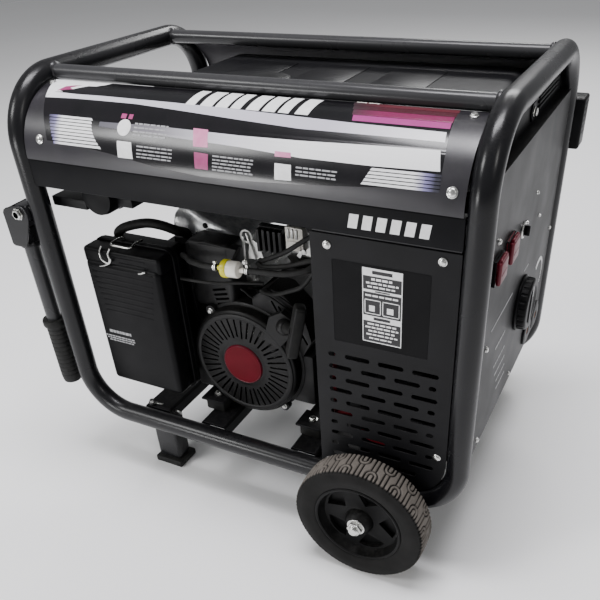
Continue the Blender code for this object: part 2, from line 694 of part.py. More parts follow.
def intake(mats):
    body = place("carburettor", box((128, 178), (108, 144), (236, 282), 4.0, 1), mats["cast_alloy"])
    join(body, rod((153, 104.5, 259), (153, 112, 259), 16, 16))
    join(body, box((176, 189.5), (121.5, 130), (241, 251)))
    pivot = (178.4, 128, 266)
    lever = place("choke_lever", rod(pivot, (184, 128, 266), 6, 12), mats["zinc"], pivot)
    join(lever, box((180, 183), (125, 131), (264, 298)))
    loop = [(64, 80, 291.8), (64, 80, 299), (78, 79, 308), (100, 80, 316), (126, 83, 321),
            (148, 90, 317), (161, 103, 306), (165, 119, 297), (165, 122, 290), (165, 122, 283.2)]
    place("breather_hose", swept(smooth_path(loop), 7.0, 8), mats["rubber"])


def exhaust(mats):
    muffler = place("muffler", box((60, 246), (266, 392), (258, 356), 18.0, 3), mats["engine_black"])
    join(muffler, rod((170, 255, 288), (170, 270, 288), 16, 16))
    join(muffler, rod((90, 385, 305), (90, 412, 305), 13, 16))
    top_line = [(150, 330), (168, 341), (182, 341), (215, 324), (258, 309), (269, 301)]
    low_line = [(x, z - 2.5) for x, z in reversed(top_line)]
    shield = place("heat_shield", prism(top_line + low_line, "Y", 130, 258), mats["zinc"])
    lip = [(174, 301), (268, 299), (269, 301), (258, 309), (215, 324), (182, 341), (174, 340)]
    join(shield, prism(lip, "Y", 127, 131))


def engine_extras(mats):
    plate = [(276, 277), (311, 281), (304, 304), (296, 312), (294, 319), (288, 323.5),
             (280, 323.5), (274, 319), (273, 310)]
    eye = place("lifting_eye", prism(plate, "Y", 108, 112), mats["zinc"])
    cut(eye, rod((284, 100, 313), (284, 120, 313), 7.0, 16))
    fins = place("voltage_regulator", box((312, 356), (100, 112), (300, 338)), mats["engine_black"])
    for i in range(5):
        x = 314 + i * 9
        join(fins, box((x, x + 4), (90, 102), (302, 336)))


def electronics(mats):
    """Welding inverter in the bay: heat sink body with a cooling fan at its front."""
    body = place("inverter_module", box((470, 630), (60, 380), (30, 330)), mats["black_plastic"])
    for i in range(6):
        x = 480 + i * 25
        cut(body, box((x, x + 14), (50, 390), (250, 340)))
    join(body, ring((550, 50, 140), (0, 1, 0), 52, 62, -12, 11, 24))
    hub = (550, 50, 140)
    fan = place("cooling_fan", turned(hub, (0, 1, 0), [(0, -8), (18, -8), (18, 6), (0, 6)], 16),
                mats["black_plastic"], hub)
    for i in range(5):
        blade = box((14, 49), (-5, -1), (-9, 9))
        turn = Matrix.Translation(Vector(hub)) @ Matrix.Rotation(2 * math.pi * i / 5, 4, "Y")
        bmesh.ops.transform(blade, matrix=turn, verts=blade.verts)
        join(fan, blade)


def build():
    clear_scene()
    mats = palette()
    for side in ("front", "rear"):
        frame_hoop(side, mats)
        side_beam(side, mats)
        tank_panel(side, mats)
        bay_cover(side, mats)
        wheel(side, mats)
        handle(side, mats)
    feet(mats)
    cross_member("cross_member_middle", (214, 262), mats)
    bay_floor(mats)
    control_panel(mats)
    for side in OUTLETS:
        outlet_cover(side, mats)
    panel_controls(mats)
    rear_box(mats)
    fuel_tank(mats)
    fuel_line(mats)
    engine_block(mats)
    recoil(mats)
    fan_housing(mats)
    rotating_parts(mats)
    air_cleaner(mats)
    intake(mats)
    exhaust(mats)
    engine_extras(mats)
    electronics(mats)


build()
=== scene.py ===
from math import atan2, cos, pi, radians, sin, tan

import bmesh
import bpy
import numpy as np
from mathutils import Matrix, Vector


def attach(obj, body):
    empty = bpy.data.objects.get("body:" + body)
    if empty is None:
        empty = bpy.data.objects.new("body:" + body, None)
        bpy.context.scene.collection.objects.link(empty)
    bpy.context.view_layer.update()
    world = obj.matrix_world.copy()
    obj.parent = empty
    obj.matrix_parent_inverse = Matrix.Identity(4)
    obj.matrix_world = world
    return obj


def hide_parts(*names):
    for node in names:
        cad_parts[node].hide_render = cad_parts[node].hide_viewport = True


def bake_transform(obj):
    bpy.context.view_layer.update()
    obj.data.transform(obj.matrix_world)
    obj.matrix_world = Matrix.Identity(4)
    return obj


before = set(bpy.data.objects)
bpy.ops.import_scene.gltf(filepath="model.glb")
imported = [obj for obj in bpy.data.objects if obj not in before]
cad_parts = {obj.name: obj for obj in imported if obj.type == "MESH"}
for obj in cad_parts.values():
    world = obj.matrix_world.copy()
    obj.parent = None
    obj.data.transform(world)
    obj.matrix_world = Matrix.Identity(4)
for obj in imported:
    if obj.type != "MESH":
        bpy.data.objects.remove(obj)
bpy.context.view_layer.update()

# Lengths are in millimetres in the bench frame of the CAD: X right from the left upright, Y to the
# rear from the front rail, Z up from the bottom rail's centreline.
MM = 0.001
BENCH = Vector((-311.0, -222.5, 116.0))
RIGHT, REAR, FRONT, UP = (1, 0, 0), (0, 1, 0), (0, -1, 0), (0, 0, 1)

LENGTH, WIDTH, HEIGHT = 658.0, 445.0, 531.0
TUBE_R = 16.0
RAIL_R, RAIL_INSET = 10.0, 84.0
BOTTOM_BEND, TOP_BEND = 75.0, 85.0
BEAM_LOW, BEAM_FACE = 398.0, -10.0
MEMBERS = {"left": (97, 149), "middle": (214, 262), "right": (384, 430)}

PANEL_R, PANEL_ARC = 85.0, 92
PANEL_CENTRE = (73.0, 437.3)

WHEEL = Vector((537.0, -26.5, -16.0))
WHEEL_R, WHEEL_WIDTH = 100.0, 48.0
HANDLE_PIVOT = (-25.5, 354)

CRANK_X, CRANK_Z = 284.0, 116.0
STARTER_FACE = 60.0
PULL = Vector((0.6, -0.8, 0.0))
EYELET = Vector((374.0, 52.0, 208.0))
GRIP = Vector((403.0, 29.0, 221.0))
GRIP_LEAN = -13

TANK_TOP = 505
FUEL_CAP = (330, 130)
FUEL_GAUGE = (480, 112)

END_FACE, UPPER_FACE = 668.0, 652.0
SOCKETS = {"front": (50, 356), "rear": (107, 357)}
KNOB = (241, 213)
KEY_SWITCH = (184, 350)
DIAL_SCALE = (365, 193)
WELD_OUTLETS = ((325, 118), (382, 118))

CAMERA_AT = Vector((826, -698, 728))
CAMERA_TURN = (-28.0, -36.1, -3.1)
CAMERA_LENS, CAMERA_SHIFT = 41.64, (-0.0367, 0.1517)


# ---------- shapes

def box(xs, ys, zs, bevel=0.0, segments=2):
    """A block between pairs of limits, with rounded edges where bevel is set."""
    bm = bmesh.new()
    bmesh.ops.create_cube(bm, size=1.0)
    bmesh.ops.scale(bm, verts=bm.verts, vec=(xs[1] - xs[0], ys[1] - ys[0], zs[1] - zs[0]))
    bmesh.ops.translate(bm, verts=bm.verts, vec=Vector((sum(xs), sum(ys), sum(zs))) / 2)
    if bevel:
        bmesh.ops.bevel(bm, geom=bm.edges[:], offset=bevel, segments=segments, profile=0.5,
                        affect="EDGES", clamp_overlap=True)
    return bm


def turned(centre, axis, profile, steps=48, closed=False):
    """A turned piece: profile lists (radius, height along axis). Radius 0 is a pole."""
    bm = bmesh.new()
    along = Vector(axis).normalized()
    side = along.orthogonal().normalized()
    if abs(along.z) < 0.9:
        side = along.cross(Vector(UP)).normalized()
    other = along.cross(side)
    turns = [2 * pi * i / steps for i in range(steps)]
    rings = []
    for radius, height in profile:
        base = Vector(centre) + along * height
        if radius == 0:
            rings.append([bm.verts.new(base)])
        else:
            rings.append([bm.verts.new(base + radius * (side * cos(t) + other * sin(t)))
                          for t in turns])
    pairs = list(zip(rings, rings[1:]))
    if closed:
        pairs.append((rings[-1], rings[0]))
    for low, high in pairs:
        for i in range(steps):
            j = (i + 1) % steps
            if len(low) == 1:
                bm.faces.new((low[0], high[i], high[j]))
            elif len(high) == 1:
                bm.faces.new((low[i], low[j], high[0]))
            else:
                bm.faces.new((low[i], low[j], high[j], high[i]))
    return bm


def ring(centre, axis, profile, steps=48):
    """A turned piece whose profile closes on itself, round a hole."""
    return turned(centre, axis, profile, steps, closed=True)


def rod(start, end, radius, steps=32, edge=0.0):
    """A round bar between two points, its ends chamfered by edge."""
    start, end = Vector(start), Vector(end)
    h = (end - start).length
    e = min(edge, radius * 0.5, h * 0.4)
    profile = [(0, 0), (radius, 0), (radius, h), (0, h)]
    if e:
        profile = [(0, 0), (radius - e, 0), (radius, e), (radius, h - e), (radius - e, h), (0, h)]
    return turned(start, end - start, profile, steps)


def prism(outline, axis, low, high):
    """A 2D outline pushed along axis: (y, z) points for X, (x, z) for Y, (x, y) for Z."""
    order = {"X": (2, 0, 1), "Y": (0, 2, 1), "Z": (0, 1, 2)}[axis]
    bm = bmesh.new()
    first, last = ([bm.verts.new([(a, b, t)[k] for k in order]) for a, b in outline] for t in (low, high))
    bm.faces.new(first)
    bm.faces.new(reversed(last))
    for i in range(len(outline)):
        j = (i + 1) % len(outline)
        bm.faces.new((first[j], first[i], last[i], last[j]))
    return bm


def rounded(xs, zs, radius, steps=6):
    """A rectangle's outline with rounded corners."""
    points = []
    corners = [(xs[1] - radius, zs[1] - radius, 0), (xs[0] + radius, zs[1] - radius, 90),
               (xs[0] + radius, zs[0] + radius, 180), (xs[1] - radius, zs[0] + radius, 270)]
    for cx, cz, start in corners:
        for i in range(steps + 1):
            turn = radians(start + 90 * i / steps)
            points.append((cx + radius * cos(turn), cz + radius * sin(turn)))
    return points


def bent_path(corners, radius, steps=20):
    """Straight runs joined by round bends."""
    corners = [Vector(c) for c in corners]
    path = [corners[0]]
    for before, corner, after in zip(corners, corners[1:], corners[2:]):
        u = (before - corner).normalized()
        v = (after - corner).normalized()
        half = u.angle(v) / 2
        centre = corner + (u + v).normalized() * radius / sin(half)
        start = corner + u * radius / tan(half) - centre
        end = corner + v * radius / tan(half) - centre
        for i in range(steps + 1):
            path.append(centre + start.slerp(end, i / steps).normalized() * radius)
    path.append(corners[-1])
    return path


def smooth_path(points, steps=8):
    """Catmull-Rom points through a given route."""
    points = [Vector(p) for p in points]
    ends = [points[0] * 2 - points[1]] + points + [points[-1] * 2 - points[-2]]
    path = []
    for a, b, c, d in zip(ends, ends[1:], ends[2:], ends[3:]):
        for i in range(steps):
            t = i / steps
            path.append(0.5 * ((2 * b) + (c - a) * t + (2 * a - 5 * b + 4 * c - d) * t * t
                               + (3 * b - a - 3 * c + d) * t ** 3))
    path.append(points[-1])
    return path


def swept(path, radius, sides=24):
    """A round bar along a path, with flat ends."""
    bm = bmesh.new()
    path = [Vector(p) for p in path]
    side = (path[1] - path[0]).orthogonal().normalized()
    turns = [2 * pi * k / sides for k in range(sides)]
    rings = []
    for i, centre in enumerate(path):
        along = (path[min(i + 1, len(path) - 1)] - path[max(i - 1, 0)]).normalized()
        side = (side - along * side.dot(along)).normalized()
        other = along.cross(side)
        rings.append([bm.verts.new(centre + radius * (side * cos(t) + other * sin(t)))
                      for t in turns])
    for low, high in zip(rings, rings[1:]):
        for k in range(sides):
            m = (k + 1) % sides
            bm.faces.new((low[k], low[m], high[m], high[k]))
    bm.faces.new(reversed(rings[0]))
    bm.faces.new(rings[-1])
    return bm


def cord(route, radius, sides=12, steps=8):
    """A hose, lead or wire along a given route."""
    return swept(smooth_path(route, steps), radius, sides)


def gather(parts):
    """Joins shapes into one, without merging their surfaces."""
    whole = bmesh.new()
    for part in parts:
        mesh = bpy.data.meshes.new("part")
        part.to_mesh(mesh)
        part.free()
        whole.from_mesh(mesh)
        bpy.data.meshes.remove(mesh)
    return whole


def moved(bm, matrix):
    """The same mesh, carried by a matrix."""
    bmesh.ops.transform(bm, matrix=matrix, verts=bm.verts)
    return bm


def turn_about(point, degrees, axis):
    """A turn round an axis that passes through a point."""
    p = Vector(point)
    return Matrix.Translation(p) @ Matrix.Rotation(radians(degrees), 4, axis) @ Matrix.Translation(-p)


def mirror_y(value, side):
    """A place measured from the front rail, mirrored for the rear side."""
    return value if side == "front" else WIDTH - value


def span(low, high, side):
    """A range in Y measured from the front rail, mirrored for the rear side."""
    return tuple(sorted((mirror_y(low, side), mirror_y(high, side))))


def outward(side):
    """The sign of Y that leads away from the frame on a side."""
    return -1 if side == "front" else 1


def layer(face, inward, low, high):
    """The range in Y between two depths behind a face."""
    return tuple(sorted((face + inward * low, face + inward * high)))


def dashes(rng, start, stop, lengths, gap, least):
    """Spans of plain dashes that fill a line of small print."""
    spans = []
    while start < stop - least:
        end = min(start + float(rng.uniform(*lengths)), stop)
        spans.append((start, end))
        start = end + gap
    return spans


# ---------- pieces

def bench_object(name, bm):
    """Makes an object of a shape and moves it from the bench frame to the scene's."""
    bmesh.ops.recalc_face_normals(bm, faces=bm.faces)
    moved(bm, Matrix.Scale(MM, 4) @ Matrix.Translation(BENCH))
    mesh = bpy.data.meshes.new(name)
    bm.to_mesh(mesh)
    bm.free()
    obj = bpy.data.objects.new(name, mesh)
    bpy.context.scene.collection.objects.link(obj)
    return obj


def round_edges(obj, width, segments):
    """Rounds the sharp edges of an object when it is drawn."""
    edge = obj.modifiers.new("edge", "BEVEL")
    edge.width = width
    edge.segments = segments
    edge.limit_method = "ANGLE"
    edge.angle_limit = radians(35)


def piece(name, shape, mat, body="root", stands_for=(), smooth=38.0, bevel=0.0, segments=3):
    """Places a shape, or a list of them, as a named piece that rides on a body and stands for CAD nodes."""
    obj = bench_object(name, gather(shape) if isinstance(shape, list) else shape)
    obj.data.shade_smooth()
    obj.data.set_sharp_from_angle(angle=radians(smooth))
    obj.data.materials.append(M[mat] if isinstance(mat, str) else mat)
    if bevel:
        round_edges(obj, bevel * MM, segments)
    if body:
        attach(obj, body)
    if stands_for:
        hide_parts(stands_for)
    return obj


def cut(obj, *shapes):
    """Cuts shapes out of a piece, one at a time, before its edges are rounded."""
    bevels = [(m.width, m.segments) for m in obj.modifiers]
    obj.modifiers.clear()
    mat = obj.data.materials[0]
    for shape in shapes:
        cutter = bench_object("cutter", shape)
        mod = obj.modifiers.new("cut", "BOOLEAN")
        mod.operation = "DIFFERENCE"
        mod.solver = "EXACT"
        mod.object = cutter
        bpy.context.view_layer.update()
        result = bpy.data.meshes.new_from_object(obj.evaluated_get(bpy.context.evaluated_depsgraph_get()))
        if not result.polygons:
            raise ValueError(f"nothing is left of {obj.name}")
        obj.modifiers.clear()
        obj.data = result
        result.materials.clear()
        result.materials.append(mat)
        result.shade_smooth()
        result.set_sharp_from_angle(angle=radians(38))
        bpy.data.objects.remove(cutter, do_unlink=True)
    for width, segments in bevels:
        round_edges(obj, width, segments)


# ---------- materials

def node(tree, kind, **values):
    """A shader node; each value is a setting of the node or the value of an input."""
    made = tree.nodes.new(kind)
    for key, value in values.items():
        if hasattr(made, key):
            setattr(made, key, value)
        else:
            made.inputs[key].default_value = value
    return made


def joined(tree, kind, operation, *sockets):
    """A maths node with its inputs joined up."""
    made = node(tree, kind, operation=operation)
    for socket, source in zip(made.inputs, sockets):
        if isinstance(source, tuple):
            socket.default_value = source
        else:
            tree.links.new(source, socket)
    return made


def noise(tree, coords, size_mm, detail=3.0, roughness=0.55):
    """Cloudy noise with features about as big as size_mm."""
    made = node(tree, "ShaderNodeTexNoise", Scale=1000.0 / size_mm, Detail=detail, Roughness=roughness)
    tree.links.new(coords, made.inputs["Vector"])
    return made.outputs["Fac"]


def spread(tree, value, low, high, out_low=0.0, out_high=1.0):
    """Maps a value from one range to another."""
    made = node(tree, "ShaderNodeMapRange", **{"From Min": low, "From Max": high, "To Min": out_low,
                                               "To Max": out_high})
    tree.links.new(value, made.inputs["Value"])
    return made.outputs["Result"]


def blended(tree, factor, first, second):
    """Mixes two colours, each a tuple or a socket."""
    made = node(tree, "ShaderNodeMix", data_type="RGBA")
    for socket, value in ((made.inputs[6], first), (made.inputs[7], second)):
        if isinstance(value, tuple):
            socket.default_value = (*value, 1.0)
        else:
            tree.links.new(value, socket)
    tree.links.new(factor, made.inputs[0])
    return made.outputs[2]


def blank_material(name):
    """A new material, its node tree, its shader and its object coordinates."""
    mat = bpy.data.materials.new(name)
    mat.use_nodes = True
    tree = mat.node_tree
    return mat, tree, tree.nodes["Principled BSDF"], tree.nodes.new("ShaderNodeTexCoord").outputs["Object"]


def finish(name, colour, tint, rough, metallic=0.0, patch=14.0, uneven=0.08, grain=0.15, grain_mm=0.7,
           dust=0.0, dust_colour=(0.32, 0.30, 0.28), wear=0.0, specular=0.5):
    """A surface with blotches of tint, uneven gloss, a fine bump, worn edges, and dust on what faces up."""
    mat, tree, shader, coords = blank_material(name)
    blotch = spread(tree, noise(tree, coords, patch), 0.35, 0.68)
    colour_out = blended(tree, blotch, colour, tint)
    gloss = spread(tree, noise(tree, coords, patch * 2.7, 4.0), 0.3, 0.7, rough - uneven, rough + uneven)
    if wear:
        edge = tree.nodes.new("ShaderNodeNewGeometry").outputs["Pointiness"]
        colour_out = blended(tree, spread(tree, edge, 0.53, 0.62, 0.0, wear), colour_out, (0.3, 0.3, 0.31))
    if dust:
        facing = tree.nodes.new("ShaderNodeSeparateXYZ")
        tree.links.new(tree.nodes.new("ShaderNodeNewGeometry").outputs["Normal"], facing.inputs[0])
        up = spread(tree, facing.outputs["Z"], 0.2, 1.0)
        fleck = spread(tree, noise(tree, coords, 5.0, 6.0, 0.7), 0.42, 0.75, 0.0, dust)
        both = joined(tree, "ShaderNodeMath", "MULTIPLY", up, fleck).outputs[0]
        colour_out = blended(tree, both, colour_out, dust_colour)
    bump = node(tree, "ShaderNodeBump", Strength=grain, Distance=0.0002)
    tree.links.new(noise(tree, coords, grain_mm, 2.0), bump.inputs["Height"])
    tree.links.new(colour_out, shader.inputs["Base Color"])
    tree.links.new(gloss, shader.inputs["Roughness"])
    tree.links.new(bump.outputs["Normal"], shader.inputs["Normal"])
    shader.inputs["Metallic"].default_value = metallic
    shader.inputs["Specular IOR Level"].default_value = specular
    return mat


def plain_ink(name, colour, tint, rough, patch):
    """Printed ink of one colour, with hardly any wear."""
    return finish(name, colour, tint, rough, patch=patch, uneven=0.04, grain=0.05, grain_mm=1.0)


M = {
    "tube": finish("gloss_black_tube", (0.004, 0.004, 0.005), (0.007, 0.007, 0.008), 0.27, patch=60,
                   uneven=0.05, grain=0.10, grain_mm=2.5, dust=0.04, wear=0.12, specular=0.3),
    "sheet": finish("satin_black_sheet", (0.0035, 0.0035, 0.004), (0.006, 0.006, 0.007), 0.46, patch=45,
                    uneven=0.06, grain=0.12, grain_mm=1.2, dust=0.05, specular=0.18),
    "beam": finish("black_beam_paint", (0.005, 0.005, 0.006), (0.008, 0.008, 0.009), 0.40, patch=70,
                   uneven=0.05, grain=0.10, grain_mm=1.4, dust=0.05, specular=0.09),
    "lilac": finish("satin_panel_sheet", (0.012, 0.011, 0.014), (0.018, 0.016, 0.021), 0.36, patch=45,
                    uneven=0.06, grain=0.12, grain_mm=1.2, dust=0.05, specular=0.6),
    "film": finish("decal_film", (0.004, 0.004, 0.005), (0.007, 0.006, 0.008), 0.22, patch=40,
                   uneven=0.04, grain=0.03, grain_mm=3.0, specular=0.45),
    "field": finish("matt_black_field", (0.0015, 0.0015, 0.002), (0.003, 0.003, 0.0035), 0.55, patch=40,
                    uneven=0.04, grain=0.05, grain_mm=1.4, specular=0.12),
    "tank": finish("tank_paint", (0.004, 0.004, 0.005), (0.008, 0.008, 0.009), 0.36, patch=80,
                   uneven=0.07, grain=0.08, grain_mm=2.0, dust=0.12, dust_colour=(0.05, 0.048, 0.046),
                   specular=0.14),
    "engine": finish("engine_black", (0.0025, 0.0025, 0.003), (0.006, 0.0055, 0.005), 0.42, patch=9,
                     uneven=0.1, grain=0.30, grain_mm=0.9, dust=0.05, wear=0.06, specular=0.22),
    "plastic": finish("black_plastic", (0.002, 0.002, 0.0025), (0.004, 0.004, 0.0045), 0.38, patch=25,
                      uneven=0.06, grain=0.25, grain_mm=0.5, dust=0.03, specular=0.10),
    "rim": finish("rim_plastic", (0.004, 0.004, 0.004), (0.007, 0.007, 0.007), 0.42, patch=20,
                  uneven=0.06, grain=0.2, grain_mm=0.6, dust=0.06, wear=0.1, specular=0.10),
    "rubber": finish("black_rubber", (0.006, 0.006, 0.006), (0.011, 0.011, 0.010), 0.62, patch=10,
                     uneven=0.08, grain=0.3, grain_mm=0.8, dust=0.05, specular=0.25),
    "zinc": finish("zinc_plate", (0.72, 0.72, 0.70), (0.58, 0.58, 0.55), 0.28, 1.0, patch=4,
                   uneven=0.08, grain=0.15, grain_mm=0.8),
    "plated": finish("plated_sheet", (0.62, 0.62, 0.60), (0.50, 0.50, 0.48), 0.34, 0.55, patch=4,
                     uneven=0.08, grain=0.2, grain_mm=0.8),
    "alloy": finish("cast_alloy", (0.50, 0.50, 0.49), (0.36, 0.36, 0.35), 0.48, 1.0, patch=7,
                    uneven=0.1, grain=0.5, grain_mm=0.8),
    "foil": finish("bright_shield", (0.92, 0.92, 0.91), (0.55, 0.56, 0.57), 0.36, 0.35, patch=11,
                   uneven=0.12, grain=0.7, grain_mm=6.0),
    "red": finish("crimson_plastic", (0.10, 0.004, 0.012), (0.13, 0.006, 0.018), 0.36, patch=18,
                  uneven=0.06, grain=0.2, grain_mm=0.5, specular=0.3),
    "rose": finish("rose_disc", (0.095, 0.002, 0.007), (0.112, 0.003, 0.010), 0.50, patch=30,
                   uneven=0.05, grain=0.1, grain_mm=0.6, specular=0.10),
    "yellow": finish("yellow_plastic", (0.62, 0.56, 0.008), (0.72, 0.66, 0.02), 0.38, patch=8,
                     uneven=0.06, grain=0.1, grain_mm=0.6),
    "pale": finish("pale_plastic", (0.78, 0.74, 0.66), (0.88, 0.85, 0.78), 0.35, patch=8,
                   uneven=0.06, grain=0.1, grain_mm=0.6),
    "ink": plain_ink("white_ink", (0.80, 0.80, 0.80), (0.90, 0.90, 0.90), 0.45, 6),
    "grey_ink": plain_ink("grey_ink", (0.30, 0.30, 0.31), (0.40, 0.40, 0.41), 0.5, 5),
    "pink_ink": plain_ink("pink_ink", (0.60, 0.16, 0.34), (0.72, 0.28, 0.46), 0.40, 14),
    "plum_ink": plain_ink("plum_ink", (0.28, 0.035, 0.13), (0.40, 0.06, 0.20), 0.40, 16),
    "copper": finish("varnished_copper", (0.45, 0.20, 0.09), (0.35, 0.14, 0.07), 0.42, 1.0, patch=3,
                     uneven=0.1, grain=0.4, grain_mm=1.2),
    "pale_rope": finish("braided_rope", (0.05, 0.05, 0.05), (0.12, 0.12, 0.12), 0.7, patch=2, grain=0.5,
                        grain_mm=1.2),
}


def fade_ink(name, stops, x_range):
    """Printed ink whose colour changes along X, in bench millimetres."""
    mat, tree, shader, coords = blank_material(name)
    axes = tree.nodes.new("ShaderNodeSeparateXYZ")
    tree.links.new(coords, axes.inputs[0])
    along = spread(tree, axes.outputs["X"], *((x + BENCH.x) * MM for x in x_range))
    ramp = tree.nodes.new("ShaderNodeValToRGB")
    while len(ramp.color_ramp.elements) < len(stops):
        ramp.color_ramp.elements.new(0.5)
    for element, (position, colour) in zip(ramp.color_ramp.elements, stops):
        element.position = position
        element.color = (*colour, 1.0)
    tree.links.new(along, ramp.inputs[0])
    speck = spread(tree, noise(tree, coords, 3.0, 4.0), 0.3, 0.7, 0.0, 0.04)
    tree.links.new(blended(tree, speck, ramp.outputs[0], (0.5, 0.48, 0.5)), shader.inputs["Base Color"])
    gloss = spread(tree, noise(tree, coords, 30.0), 0.3, 0.7, 0.30, 0.40)
    tree.links.new(gloss, shader.inputs["Roughness"])
    shader.inputs["Specular IOR Level"].default_value = 0.3
    return mat


# ---------- camera, floor and light

def aim_camera():
    """Sets the camera that the photograph's straight tubes were fitted with."""
    yaw, pitch, roll = (radians(v) for v in CAMERA_TURN)
    ahead = Vector((sin(yaw) * cos(pitch), cos(yaw) * cos(pitch), sin(pitch)))
    right = Vector((cos(yaw), -sin(yaw), 0))
    up = right.cross(ahead)
    x = cos(roll) * right + sin(roll) * up
    y = -sin(roll) * right + cos(roll) * up
    data = bpy.data.cameras.new("camera")
    data.sensor_width = 36.0
    data.lens = CAMERA_LENS
    data.shift_x, data.shift_y = CAMERA_SHIFT
    data.clip_start = 0.02
    cam = bpy.data.objects.new("camera", data)
    turn = Matrix((x, y, -ahead)).transposed().to_4x4()
    cam.matrix_world = Matrix.Translation((CAMERA_AT + BENCH) * MM) @ turn
    bpy.context.scene.collection.objects.link(cam)
    bpy.context.scene.camera = cam


def area_light(name, at, towards, size, power, colour=(1, 1, 1)):
    """A rectangular light that faces a point; places and sizes are in metres."""
    data = bpy.data.lights.new(name, "AREA")
    data.shape = "RECTANGLE"
    data.size, data.size_y = size
    data.energy = power
    data.color = colour
    obj = bpy.data.objects.new(name, data)
    obj.location = at
    obj.rotation_euler = (Vector(towards) - Vector(at)).to_track_quat("-Z", "Y").to_euler()
    bpy.context.scene.collection.objects.link(obj)


def studio():
    """A pale floor, a soft grey surround and five area lights."""
    bm = bmesh.new()
    bmesh.ops.create_grid(bm, x_segments=1, y_segments=1, size=6.0)
    mesh = bpy.data.meshes.new("floor")
    bm.to_mesh(mesh)
    bm.free()
    floor = bpy.data.objects.new("floor", mesh)
    floor.location = (0, 0, -0.0006)
    bpy.context.scene.collection.objects.link(floor)
    mesh.materials.append(finish("pale_floor", (0.90, 0.90, 0.90), (0.92, 0.92, 0.92), 0.7, patch=900,
                                 uneven=0.03, grain=0.02, grain_mm=8.0))
    world = bpy.data.worlds.new("studio")
    bpy.context.scene.world = world
    world.use_nodes = True
    background = world.node_tree.nodes["Background"]
    background.inputs["Color"].default_value = (0.93, 0.94, 0.96, 1.0)
    background.inputs["Strength"].default_value = 0.30
    area_light("overhead", (0.1, -0.2, 3.2), (0.0, 0.0, 0.3), (1.8, 0.8), 120, (0.97, 0.96, 1.0))
    area_light("front_left", (-2.0, -2.2, 2.4), (0.0, 0.0, 0.3), (0.9, 0.9), 48)
    area_light("right", (2.6, -1.4, 2.2), (0.3, 0.0, 0.35), (0.5, 0.8), 12, (1.0, 0.98, 0.95))
    area_light("bay_fill", (-0.7, -1.5, 0.42), (-0.05, 0.0, 0.40), (0.5, 0.25), 7)
    area_light("back", (0.0, 3.0, 2.6), (0.0, 0.0, 0.3), (2.0, 0.6), 60)


# ---------- frame

def frame_hoop(side):
    """One side of the tube frame with its top rail, wheel plate and handle lug."""
    y = mirror_y(0, side)
    middle = WIDTH / 2
    low = bent_path([(0, y, HEIGHT / 2), (0, y, 0), (LENGTH, y, 0), (LENGTH, y, HEIGHT / 2)], BOTTOM_BEND)
    left = bent_path([(0, middle, HEIGHT), (0, y, HEIGHT), (0, y, HEIGHT / 2)], TOP_BEND)
    right = bent_path([(LENGTH, y, HEIGHT / 2), (LENGTH, y, HEIGHT), (LENGTH, middle, HEIGHT)], TOP_BEND)
    parts = [swept(left[:-1] + low[1:-1] + right[1:], TUBE_R, 40)]
    rail_y = mirror_y(RAIL_INSET, side)
    parts.append(rod((0, rail_y, HEIGHT), (LENGTH, rail_y, HEIGHT), RAIL_R, 32))
    for x, out in ((TUBE_R - 2.5, 1), (LENGTH - TUBE_R + 2.5, -1)):
        bead = [(RAIL_R - 1, -3), (RAIL_R + 3, -2), (RAIL_R + 3.2, 0), (RAIL_R + 1.5, 2.5), (RAIL_R - 1, 4)]
        parts.append(ring((x, rail_y, HEIGHT), (out, 0, 0), bead, 32))
    plate = span(-TUBE_R - 5, -TUBE_R + 3, side)
    parts.append(prism([(WHEEL.x - 40, 12), (WHEEL.x + 40, 12), (WHEEL.x + 22, WHEEL.z - 22),
                        (WHEEL.x - 22, WHEEL.z - 22)], "Y", *plate))
    parts.append(box((-34.5, -TUBE_R + 3), (y - 15.5, y + 15.5), (343, 366), 1.5))
    piece(f"frame_tube_{side}", parts, "tube", stands_for=f"frame_{side}_hoop")
    stub_end = mirror_y(WHEEL.y - WHEEL_WIDTH - 12, side)
    start = (WHEEL.x, mirror_y(-TUBE_R - 2, side), WHEEL.z)
    piece(f"axle_stub_{side}", rod(start, (WHEEL.x, stub_end, WHEEL.z), 8, 32, 2.0), "zinc")
    out = outward(side)
    px, pz = HANDLE_PIVOT
    bolt = [rod((px, y - 27 * out, pz), (px, y + 27 * out, pz), 5, 20)]
    nut = [(0, 0), (9.5, 0), (9.5, 1.2), (8, 1.2), (8, 4.4), (6.8, 5.5), (0, 5.5)]
    for way in (out, -out):
        bolt.append(turned((px, y + 21.5 * way, pz), (0, way, 0), nut, 6))
    piece(f"handle_bolt_{side}", bolt, "zinc")


def side_beam(side):
    """Folded channel with a rolled upper edge that catches the light."""
    lines = [(0, 0), (14, 0), (14, 2), (2, 2), (2, 37), (14, 37), (14, 39), (3.2, 39), (0.9, 38.2),
             (0, 36.2)]
    outline = [(mirror_y(BEAM_FACE + a, side), BEAM_LOW + b) for a, b in lines]
    beam = prism(outline, "X", TUBE_R - 1, LENGTH - TUBE_R + 1)
    piece(f"beam_{side}", beam, "beam", stands_for=f"side_beam_{side}", bevel=0.7)


def folded_member(name, *more):
    """A channel across the frame with its edges folded down."""
    x0, x1 = MEMBERS[name]
    outline = [(x0, -11), (x0, 8), (x0 + 3, 11), (x1 - 3, 11), (x1, 8), (x1, -11), (x1 - 3, -11), (x1 - 3, 7),
               (x0 + 3, 7), (x0 + 3, -11)]
    channel = prism(outline, "Y", TUBE_R + 0.2, WIDTH - TUBE_R - 0.2)
    piece(f"member_{name}", [channel, *more], "sheet", stands_for=f"cross_member_{name}", bevel=0.8)


